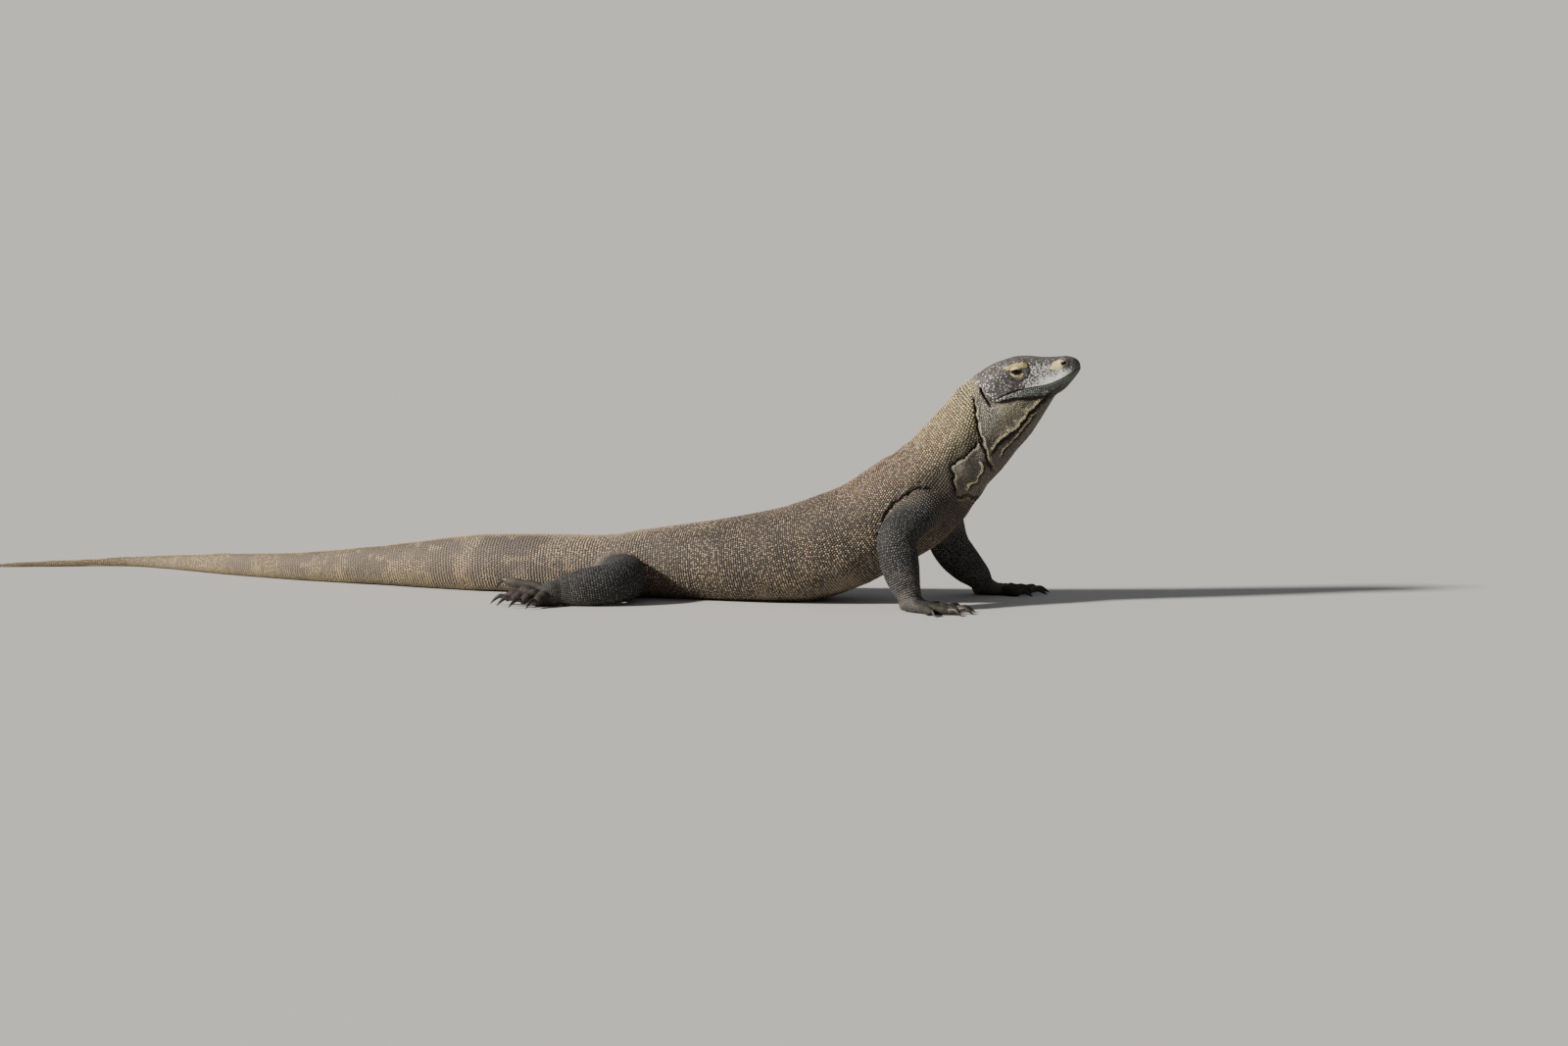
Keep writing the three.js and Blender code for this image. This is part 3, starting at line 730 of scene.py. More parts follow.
    def dark_skin_and_shade(self):
        """1 for the dark rim of the lids and the eye's corner, and for painted shade in mouth, nostril, ear,
        orbit and jaw.
        """
        back, above, head = self.back, self.above, self.face
        over, mouth = self.over_mouth
        band, edge = self.lip_band(), self.jaw_edge
        # The mouth's line, the nostril, the ear, the orbit's crease and the jaw's groove are painted dark as
        # painted shade.
        shut = bump(over, np.interp(back, (100, 140, 175), (1.0, 1.5, 2.1)))
        shut = shut * mouth * ease(back, -6, -1) * head
        holes = ease(self.nostril, 1.1, 0.75) * head
        dark = shut + holes + ease(self.ear, 3.2, 1.6) * (self.ear < 9)
        corner = bump(np.hypot((back - 113.5) / 1.7, above - 27.5), 3.4) * (self.eye_opening > 1)
        # A painted shadow below the lip band at the front of the jaw.
        under_jaw_shadow = ease(over, -band, -5 - band) * ease(over, -edge - 3, -edge)
        under_jaw_shadow = under_jaw_shadow * ease(back, 120, 95) * (over < 0)
        dark = dark + (0.75 * self.orbit_crease + 0.75 * corner + 0.6 * under_jaw_shadow) * head
        # The jaw's groove is painted dark as a painted shadow band under the jaw.
        return np.clip(dark + 0.75 * self.lids() + self.jaw_groove, 0, 1)

    def marks(self):
        """What skin and scales are coloured by: numbers of about 0 to 1, and along, which is in metres."""
        back, above, head = self.back, self.above, self.face
        over, mouth = self.over_mouth
        outer = ease(self.out, 12, 20)
        limb = np.where(self.leg, ease(self.from_body, 0.000, 0.035), 0)
        ankle = ease(np.where(self.leg & ~self.foot, self.run, 0.3), 0.2, 0.34)
        return {
            "along": self.body_run,
            "height": np.cos(self.body_turn),
            "limb": limb,
            "foot": np.where(self.foot, 1.0, limb * ankle),
            "toe": self.toe * 1.0,
            "throat": self.throat,
            "face": head,
            "cream": self.cream() * head * (1 - self.lids()),
            "lip": self.lip() * head * mouth,
            "speck": self.specks() * outer * head,
            "dark": self.dark_skin_and_shade(),
            "snout": ease(back + self.wavy, 17, 5) * head,
            "orange": bump(np.hypot(back - 21.5, above - 15.5), 2.6) * outer * head,
            "lattice": ease(over, -66, -38) * ease(back, 190, 165) * self.throat,
        }


def fold_offset(points, normals, route):
    """For each point: metres across from the nearest place of a route on the skin, positive on the side of
    (route direction) x (normal); metres from it in all; and the share of the route, from 0 to 1."""
    detail = 10 * (len(route) - 1)
    line = spline(np.array(route, float) * MM, np.linspace(0, len(route) - 1, detail + 1))
    way = unit(np.gradient(line, axis=0))
    off = points[:, None] - line
    near = (off**2).sum(2).argmin(1)
    off = off[np.arange(len(points)), near]
    across = unit(np.cross(way[near], normals))
    return (off * across).sum(1), np.linalg.norm(off, axis=1), near / detail


def mirrored(route):
    """A route on the right of the neck or breast carried to the left, about the body's own middle line."""
    route = np.array(route, float)
    middle = np.interp(route[:, 0], [row[0] for row in BODY], [row[1] for row in BODY])
    route[:, 1] = 2 * middle - route[:, 1]
    return route


# ------------------------ skin

def flesh_shapes(inset, floor):
    """The tubes and the swellings, each a closed shape that runs into its neighbours."""
    shapes = []
    for tube in TUBES:
        short = "toe" in tube.name or "sole" in tube.name
        rings = 24 if short else int(tube.length / 0.006) + 8
        shapes.append(tube_grid(tube, rings, 28 if short else 72, inset, floor))
    for side in (LEFT, RIGHT):
        for back, out, above, rx, ry, rz in HEAD_SWELLINGS.values():
            radii = np.array((rx, ry, rz)) * MM - inset
            shapes.append(ball_grid(on_head(back, side * out, above), radii, HEAD_TURN))
    return shapes


def shape_lids(spots, place):
    """Moves the skin near each eye on to a shell 1 mm clear of it, which sinks inside the eye where the lids
    open. Returns the places and how far each is held to the shell, 0 to 1."""
    side = np.where(spots.left > 0, 1.0, -1.0)
    opening = spots.eye_opening
    _, _, turn, reach = spots.eye_angles
    shell = LID_SHELL - 2.3 * ease(opening, 1.06, 0.92)
    shell = shell + 0.35 * bump(opening - 1.25, 0.2)
    wrinkles = bump(turn - 0.92, 0.05) + bump(turn - 1.12, 0.05)
    shell = shell - 0.5 * wrinkles * ease(spots.above, EYE[2] + 4, EYE[2])
    hold = ease(turn, 1.25, 0.85) * ease(reach, 23, 16.5)
    hold = np.maximum(hold, ease(opening, 1.9, 1.2)) * spots.on_face
    centre = on_head(np.full_like(side, EYE[0]), side * EYE[1], np.full_like(side, EYE[2]))
    return place + hold[:, None] * unit(place - centre) * ((shell - reach) * MM)[:, None], hold


def face_relief(spots):
    """Millimetres that the skin of the head rises: lips, jaw, brows, hollows, nostrils and ears."""
    back, above = spots.back, spots.above
    over, mouth = spots.over_mouth
    out = np.zeros(len(back))
    # The line between the lips, deeper to the back, and the swelling above and below it.
    ahead = ease(back, -14, -6)
    deep, wide = np.interp(back, (100, 150), (1.7, 2.6)), np.interp(back, (100, 150), (0.95, 1.4))
    out -= deep * bump(over, wide) * mouth * ahead
    out += 0.75 * bump(over - 3.4, 2.6) * mouth * ahead * ease(back, 4, 20)
    out += 0.55 * bump(over + 3.2, 2.2) * mouth * ahead
    out += 2.0 * bump(over + spots.jaw_edge - 7, 5.0) * mouth * ease(back, 30, 60)
    # The brow's ridge, the hollow of the temple and the hollow before the eye.
    ridge = bump(above - 39 - 0.05 * (back - 125), 3.6) * ease(back, 92, 106) * ease(back, 158, 140)
    out += 1.6 * ridge * ease(spots.out, 22, 28)
    out -= 1.3 * bump(above - 12, 7) * ease(back, 138, 146) * ease(back, 180, 160)
    out -= 0.9 * bump(above - 22, 8) * ease(back, 60, 75) * ease(back, 112, 98)
    # The nostril and its rim, and the ear and the fold behind it.
    out -= 5.0 * ease(spots.nostril, 1.05, 0.45)
    out += 0.8 * bump(np.sqrt(spots.nostril) - 1.25, 0.25)
    out -= 6.5 * ease(spots.ear, 3.6, 1.2)
    out += 1.3 * bump(spots.ear - 6, 2.2) * ease(back, 199, 193)
    near = spots.from_head < 0.02
    jaw = ease(over, -1 - spots.jaw_edge, 2 - spots.jaw_edge) * (over < 5) * (back < 180) * near
    slit = ease(spots.ear, 9, 6) * near
    return out * np.maximum(np.maximum(spots.on_face, jaw), slit)


def shape_face(place):
    """The places with the lids on their shell, and the rest of the face moved out from, or in to, the head's
    middle."""
    spots = Spots(place)
    place, hold = shape_lids(spots, place)
    stations = -np.array([row[0] for row in HEAD], float)
    sample = np.searchsorted(stations, -spots.back) * Tube.DETAIL
    radial = place - HEAD_TUBE.line[np.clip(sample, 0, len(HEAD_TUBE.line) - 1)]
    radial -= (radial @ HEAD_TURN[:, :1]) * HEAD_TURN[:, 0] * ease(spots.back, 5, 30)[:, None]
    out = face_relief(spots) * (1 - hold) - 6.0 * spots.jaw_groove - 1.5 * spots.orbit_crease
    return place + unit(radial) * (out * MM)[:, None]


def shape_folds(mesh, place):
    """Grooves with a raised lip along the folds, on both sides. Returns the places, how deep each is in a
    groove, and how far it is up a lip, as the share of painted highlight on the lip's crest."""
    normals = normals_of(mesh)
    push, deep, ridge = np.zeros(len(place)), np.zeros(len(place)), np.zeros(len(place))
    for route, depth, width, lip, way, pale in FOLDS.values():
        for side in (RIGHT, LEFT):
            path = np.array(route, float) if side == RIGHT else mirrored(route)
            low, high = path.min(0) * MM - 0.03, path.max(0) * MM + 0.03
            near = np.flatnonzero(((place > low) & (place < high)).all(1))
            offset, reach, share = fold_offset(place[near], normals[near], path)
            offset = offset / MM * way * side + 1.4 * ripple(place[near], 0.02, 11)
            offset += 0.7 * ripple(place[near], 0.008, 12)
            fade = ease(share, 0, 0.1) * ease(share, 1, 0.88) * ease(reach, 0.028, 0.016)
            groove = bump(np.where(offset > 0, offset / 0.7, offset), width) * fade
            raised = bump(offset - 1.7 * width, width) * fade
            push[near] += lip * raised - depth * groove
            # deep also paints the bottom of the groove dark as painted shade.
            deep[near] = np.maximum(deep[near], np.clip(1.5 * groove * depth / 6, 0, 1))
            # ridge: the painted highlight on the crest of the lip, as pale as the fold's last column.
            ridge[near] = np.maximum(ridge[near], bump(offset - 1.6 * width, 0.55 * width) * fade * pale)
    # The loose skin of the neck and flanks is uneven.
    spots = Spots(place)
    loose = ease(spots.body_run, 1.86, 2.0) * (1 - ease(spots.body_run, 2.3, 2.34))
    loose = loose * (spots.from_legs > 0.004)
    push += 1.3 * ripple(place * (1, 1, 0.6), 0.045, 3) * loose
    push += 0.8 * ripple(place * (1.6, 0.5, 0.5), 0.09, 4) * (1 - spots.on_face)
    push = np.where(spots.on_face & (spots.back < 196), 0, push)
    return place + normals * (push * MM)[:, None], deep, ridge * (1 - deep)


def near_features(place, margin):
    """True within margin, in millimetres, of the eyes, nostrils, ears, lips, jaw's groove and folds."""
    spots = Spots(place)
    over, mouth = spots.over_mouth
    face = (np.abs(over) < margin * 0.7) & (mouth > 0)
    face |= (spots.eye_angles[3] < 14 + margin) & (spots.out > 20)
    face |= (spots.nostril < 1 + margin * 0.4) | (spots.ear < margin + 1)
    face |= spots.jaw_groove > 0.02
    folds = np.zeros(len(place), bool)
    for route, *_ in FOLDS.values():
        for path in (np.array(route, float), mirrored(route)):
            line = spline(path, np.linspace(0, len(path) - 1, 6 * len(path))) * MM
            box = ((place > line.min(0) - 0.02) & (place < line.max(0) + 0.02)).all(1)
            off = place[box][:, None] - line
            folds[box] |= (off**2).sum(2).min(1) < ((margin + 3) * MM) ** 2
    return (face & (spots.from_head < 0.03)) | folds


class DRAGON_OT_skin(bpy.types.Operator):
    """Make the skin: one closed surface in place of all the solids of flesh, with its folds and the face"""

    bl_idname = "dragon.skin"
    bl_label = "Skin"

    KEEPS_VOLUME = 1.04  # share of a smoothing step that is undone

    def execute(self, context):
        sizes = context.scene.dragon_skin
        mesh = self.thinned(*self.flesh(sizes))
        refine(mesh, near_features(places_of(mesh), 6))
        relax(mesh, near_features(places_of(mesh), 7) * 1.0, 3, back=self.KEEPS_VOLUME)
        place, deep, ridge = shape_folds(mesh, places_of(mesh))
        move_to(mesh, place)
        place = shape_face(place)
        place[:, 2] = np.maximum(place[:, 2], sizes.floor)
        move_to(mesh, place)
        mesh.polygons.foreach_set("use_smooth", np.ones(len(mesh.polygons), bool))
        mesh.name = "skin"
        for name, values in Spots(place).marks().items():
            # The dark mark takes in the grooves of the folds, painted dark as painted shade.
            mark(mesh, name, np.maximum(values, deep) if name == "dark" else values)
        mark(mesh, "deep", deep)
        # ridge carries the painted highlight on the crests of the folds.
        mark(mesh, "ridge", ridge)
        mark(mesh, "chance", np.full(len(place), 0.5))
        mark(mesh, "crown", np.zeros(len(place)))
        flesh = [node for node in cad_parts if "claw" not in node and not node.startswith("eye")]
        new_piece("skin", mesh, *flesh, slot="trunk")
        mesh.materials.clear()
        mesh.materials.append(hide_material())
        return {"FINISHED"}

    def flesh(self, sizes):
        """Tubes and swellings as one closed surface, smoothed where they meet, and its spots before that."""
        place, faces = joined(flesh_shapes(sizes.inset, sizes.floor))
        mesh = with_modifier(mesh_of("flesh", place, faces), "REMESH", mode="VOXEL", voxel_size=sizes.voxel,
                             adaptivity=0.0, use_smooth_shade=True)
        relax(mesh, np.ones(len(mesh.vertices)), 6, back=self.KEEPS_VOLUME)
        spots = Spots(places_of(mesh))
        body, legs, head = spots.from_body, spots.from_legs, spots.from_head
        join = np.exp(-(body**2 + legs**2) / sizes.blend**2)
        neck = np.exp(-(body**2 + head**2) / sizes.blend**2) * ease(spots.back, 60, 110)
        relax(mesh, np.clip(join + neck, 0, 1), 30)
        return mesh, spots

    def thinned(self, mesh, spots):
        """The mesh with fewer faces: all near the features and on the feet stay, and 1 in 20 elsewhere."""
        keep = near_features(spots.points, 9) | spots.foot
        coarse = np.where(keep, 0.0, np.where(spots.on_face, 0.3, 1.0))
        share = (keep.mean() + 0.05 * (~keep).mean()) * 1.02
        return with_modifier(mesh, "DECIMATE", ratio=share, weights=coarse)


# ------------------------ coat

class Sites:
    """Places for scales: where, how far apart, and the name of the tube that a row goes round."""

    def __init__(self):
        self.place, self.pitch, self.tube = [], [], []

    def add(self, place, pitch, tube=""):
        self.place.append(np.asarray(place).reshape(-1, 3))
        self.pitch.append(np.broadcast_to(pitch, len(self.place[-1])))
        self.tube.append(np.full(len(self.place[-1]), tube, "U32"))


def body_pitch(run):
    """Metres from row to row along the body."""
    return np.interp(run, (0, 0.3, 0.8, 1.15, 1.35, 1.52, 1.85, 2.0, 2.25, 2.5),
                     np.array((3.4, 4.4, 5.5, 5.8, 6.0, 4.9, 4.6, 4.2, 5.5, 4.5)) * MM)


def body_width(run):
    """Width of a scale over the row's pitch: long ones on tail and loins, round ones on trunk and neck."""
    return np.interp(run, (0.9, 1.15, 1.35, 1.55, 1.85, 2.0, 2.3),
                     (0.80, 0.76, 0.74, 0.95, 1.02, 1.12, 0.95))


def rows_on(tube, row_pitch, row_width, inset, floor, first=0.0):
    """Brick-laid rows round a tube: each second row is turned by half a scale, and every scale strays."""
    place, pitch = [], []
    distance, number = first, 0
    rng = np.random.default_rng(len(tube.name))
    while distance < tube.length:
        step, width = float(row_pitch(distance)), float(row_width(distance))
        u = tube.at(distance)
        count = max(int(round(float(tube.girth_round(u)) / (step * width))), 6)
        stray = rng.uniform(-0.13, 0.13, (2, count))
        turn = (np.arange(count) + 0.5 * (number % 2) + stray[0]) * 2 * np.pi / count
        place.append(tube.surface(tube.at(distance + stray[1] * step), turn, inset, floor))
        pitch.append(np.full(count, step * math.sqrt(width)))
        distance += step
        number += 1
    return np.vstack(place), np.concatenate(pitch)


def skin_points(mesh, count, wanted, seed):
    """Random points spread evenly over the wanted faces of the skin."""
    mesh.calc_loop_triangles()
    corner = np.empty(len(mesh.loop_triangles) * 3, np.int32)
    mesh.loop_triangles.foreach_get("vertices", corner)
    corner = corner.reshape(-1, 3)
    corner = corner[wanted[corner].all(1)]
    a, b, c = (places_of(mesh)[corner[:, k]] for k in range(3))
    area = np.linalg.norm(np.cross(b - a, c - a), axis=1)
    rng = np.random.default_rng(seed)
    pick = np.searchsorted(np.cumsum(area) / area.sum(), rng.random(count))
    r, s = np.sqrt(rng.random(count))[:, None], rng.random(count)[:, None]
    return (1 - r) * a[pick] + r * (1 - s) * b[pick] + r * s * c[pick]


def keep_apart(place, gap):
    """True for each point that no earlier kept point is nearer to than the mean of their two gaps."""
    cell = float(gap.max())
    keys = np.floor(place / cell).astype(int)
    steps = [(i, j, k) for i in (-1, 0, 1) for j in (-1, 0, 1) for k in (-1, 0, 1)]
    grid, kept = {}, np.zeros(len(place), bool)
    for n, ((i, j, k), (x, y, z), g) in enumerate(zip(keys.tolist(), place.tolist(), gap.tolist())):
        clear = True
        for di, dj, dk in steps:
            for px, py, pz, pg in grid.get((i + di, j + dj, k + dk), ()):
                if (x - px) ** 2 + (y - py) ** 2 + (z - pz) ** 2 < ((g + pg) / 2) ** 2:
                    clear = False
                    break
            if not clear:
                break
        if clear:
            grid.setdefault((i, j, k), []).append((x, y, z, g))
            kept[n] = True
    return kept


def snapped(skin, place, reach):
    """The nearest skin for each place within reach: whether there is any, the place and the face."""
    tree = BVHTree.FromObject(skin, bpy.context.evaluated_depsgraph_get())
    hits = [tree.find_nearest(p, reach) for p in place.tolist()]
    found = np.array([hit[0] is not None for hit in hits])
    spot = np.array([hit[0] if hit[0] is not None else (0, 0, 0) for hit in hits], float)
    face = np.array([hit[2] if hit[2] is not None else 0 for hit in hits])
    return found, spot, face


def neighbours(place, count):
    """The numbers of the nearest other places to each."""
    tree = KDTree(len(place))
    for n, p in enumerate(place.tolist()):
        tree.insert(p, n)
    tree.balance()
    return np.array([[hit[1] for hit in tree.find_n(p, count + 1)] for p in place.tolist()])[:, 1:]


def evened(skin, place, face, pitch, loose, rounds=3):
    """Spreads the loose places: each moves by 0.3 of (1.1 pitch - distance) away from every one of its
    nearest seven that is closer than that, and back on to the skin."""
    place, face = place.copy(), face.copy()
    for _ in range(rounds):
        off = place[loose][:, None] - place[neighbours(place, 7)[loose]]
        far = np.linalg.norm(off, axis=2, keepdims=True)
        push = np.maximum(1.1 * pitch[loose][:, None, None] - far, 0)
        moved = place[loose] + 0.3 * (off / np.maximum(far, 1e-6) * push).sum(1)
        found, spot, near = snapped(skin, moved, 0.003)
        index = np.flatnonzero(loose)[found]
        place[index], face[index] = spot[found], near[found]
    return place, face


def face_normals(skin, face):
    """The mean normal of each given face's corners, smoother than the face's own."""
    mesh = skin.data
    corner = np.empty(len(mesh.loops), np.int32)
    mesh.loops.foreach_get("vertex_index", corner)
    size = np.empty(len(mesh.polygons), np.int32)
    mesh.polygons.foreach_get("loop_total", size)
    owner = np.repeat(np.arange(len(size)), size)
    normals = normals_of(mesh)[corner]
    total = np.stack([np.bincount(owner, normals[:, k], len(size)) for k in range(3)], 1)
    return unit(total[face])


def outlines(shape, others, part, sides):
    """Metres that each scale of a part reaches in each of its directions: to the line half-way to the
    neighbours, |d|² / 2(d · e), rounded off at 0.74 of the pitch, and less the gap."""
    place, normal, way, pitch, gap = (shape[k][part] for k in ("place", "normal", "way", "pitch", "gap"))
    others = others[part]
    off = shape["place"][others] - place[:, None]
    facing = (shape["normal"][others] * normal[:, None]).sum(2) > 0.2
    side = np.cross(normal, way)
    a, b = (off * way[:, None]).sum(2), (off * side[:, None]).sum(2)
    flat = np.maximum(np.hypot(a, b), 1e-9)
    length = np.linalg.norm(off, axis=2)
    angle = np.arange(sides) * 2 * np.pi / sides
    toward = (a[..., None] * np.cos(angle) + b[..., None] * np.sin(angle)) / flat[..., None]
    halfway = length[..., None] / (2 * np.maximum(toward, 0.05))
    edge = np.where((toward > 0.05) & facing[..., None], halfway, 1.0).min(1)
    round_off = 0.74 * pitch[:, None]
    reach = (edge**-8.0 + round_off**-8.0) ** -0.125
    return np.maximum(reach - gap[:, None], 0.25 * pitch[:, None]), angle


def bends(shape, others, part):
    """How the skin curves under each scale of a part: a, b and c of z = a x²/2 + b x y + c y²/2, in pitches,
    by least squares over its neighbours, the nearer ones counting more."""
    place, normal, way, pitch = (shape[k][part] for k in ("place", "normal", "way", "pitch"))
    off = (shape["place"][others[part]] - place[:, None]) / pitch[:, None, None]
    x, y, z = ((off * axis[:, None]).sum(2) for axis in (way, np.cross(normal, way), normal))
    flat = x**2 + y**2
    facing = (shape["normal"][others[part]] * normal[:, None]).sum(2) > 0.4
    weight = facing * (z**2 < 0.25 * flat) / (0.3 + flat) ** 2
    terms = np.stack((x**2 / 2, x * y, y**2 / 2), 2)
    square = np.einsum("nk,nki,nkj->nij", weight, terms, terms) + 0.02 * np.eye(3)
    return np.linalg.solve(square, np.einsum("nk,nki,nk->ni", weight, terms, z)[..., None])[..., 0]


PATCH_RADIUS = 0.0015  # of a scale on the bake map


def scale_mesh(name, sites, sides):
    """Closed domes, one for each site: a rim sunk in the skin at the outline, a shoulder at 0.82 of the
    outline and 0.66 of the height, higher at the rear, and a crown behind the middle. Rim and shoulder follow
    the skin's curve, sag = (a cos² / 2 + b cos sin + c sin² / 2) reach²."""
    place, normal, way, reach, angle, height = (
        sites[k] for k in ("place", "normal", "way", "reach", "angle", "height"))
    n = len(place)
    side = np.cross(normal, way)
    cosine, sine = np.cos(angle)[None, :], np.sin(angle)[None, :]
    ray = way[:, None] * cosine[..., None] + side[:, None] * sine[..., None]
    lift = height[:, None] * (1 + 0.22 * cosine)
    a, b, c = sites["bend"].T[..., None] / sites["pitch"][:, None]
    sag = (a * cosine**2 / 2 + b * cosine * sine + c * sine**2 / 2) * reach**2
    sag = np.clip(sag, -0.4 * reach, 0.4 * reach)
    sunk = sag - 0.2 * height[:, None] - 0.0001
    rim = place[:, None] + ray * reach[..., None] + normal[:, None] * sunk[..., None]
    shoulder = place[:, None] + ray * (0.82 * reach)[..., None]
    shoulder = shoulder + normal[:, None] * (0.66 * lift + 0.67 * sag)[..., None]
    crown = place + way * (0.12 * reach.mean(1))[:, None] + normal * (1.04 * height)[:, None]
    points = np.concatenate((rim, shoulder, crown[:, None]), 1)
    points[..., 2] = np.maximum(points[..., 2], 0.0)
    per = 2 * sides + 1
    j = np.arange(sides)
    k = (j + 1) % sides
    quads = np.stack((j, k, k + sides, j + sides), 1)
    tips = np.stack((j + sides, k + sides, np.full(sides, 2 * sides)), 1)
    loops = np.concatenate((quads.ravel(), tips.ravel(), j[::-1]))
    sizes = np.concatenate((np.full(sides, 4), np.full(sides, 3), [sides]))
    mesh = bpy.data.meshes.new(name)
    mesh.vertices.add(n * per)
    mesh.vertices.foreach_set("co", points.astype(np.float32).ravel())
    every = (loops[None] + (np.arange(n) * per)[:, None]).ravel().astype(np.int32)
    mesh.loops.add(len(every))
    mesh.loops.foreach_set("vertex_index", every)
    total = np.tile(sizes, n).astype(np.int32)
    mesh.polygons.add(len(total))
    mesh.polygons.foreach_set("loop_start", np.concatenate(([0], np.cumsum(total)[:-1])).astype(np.int32))
    mesh.polygons.foreach_set("loop_total", total)
    mesh.polygons.foreach_set("use_smooth", np.tile(sizes < sides, n))
    mesh.update(calc_edges=True)
    # The bake map: each scale is a small patch where its root lies on the unrolled skin.
    ring = np.stack((np.cos(angle), np.sin(angle)), 1)
    local = np.concatenate((ring, ring * 0.7, ((0.0, 0.0),)))
    spread = (sites["root"][:, None] + local[None] * PATCH_RADIUS)[:, loops].reshape(-1, 2)
    layer = mesh.uv_layers.new(name="OFBake")
    layer.data.foreach_set("uv", spread.astype(np.float32).ravel())
    for key, values in sites["marks"].items():
        mark(mesh, key, np.repeat(values, per))
    sideways = sites["join"][:, None] * sine**2
    mark(mesh, "crown", np.concatenate((sideways, 0.75 + 0.25 * sideways, np.ones((n, 1))), 1).ravel())
    return mesh


def root_map(spots, group):
    """Where each site lies on its piece of the unrolled skin: along and round its tube, a strip to a tube."""
    along = np.where(spots.names == "head", spots.back * MM
                     + 0.8 * np.maximum(0.035 - np.hypot(spots.left, spots.above - 10) * MM, 0), spots.run)
    root = np.zeros((len(along), 2))
    tubes = np.unique(spots.tube[group])
    for strip, tube in enumerate(tubes):
        here = group & (spots.tube == tube)
        low, high = along[here].min(), along[here].max()
        root[here, 0] = 0.01 + 0.98 * (along[here] - low) / max(high - low, 1e-6)
        root[here, 1] = (strip + 0.02 + 0.96 * (spots.turn[here] / (2 * np.pi) + 0.5)) / len(tubes)
    return root


COAT_LENGTHS = ("tail_far", "tail_near", "hips", "belly", "ribs", "breast", "neck")
COAT_SLOTS = {"tail_far": "tail", "tail_near": "tail", "neck": "neck", "head": "head", "face": "head"}


def leg_pitch(distance):
    """Metres from row to row down a leg, finer towards the foot."""
    return 4.9 * MM * np.interp(distance, (0, 0.2, 0.4), (1.0, 0.95, 0.72))


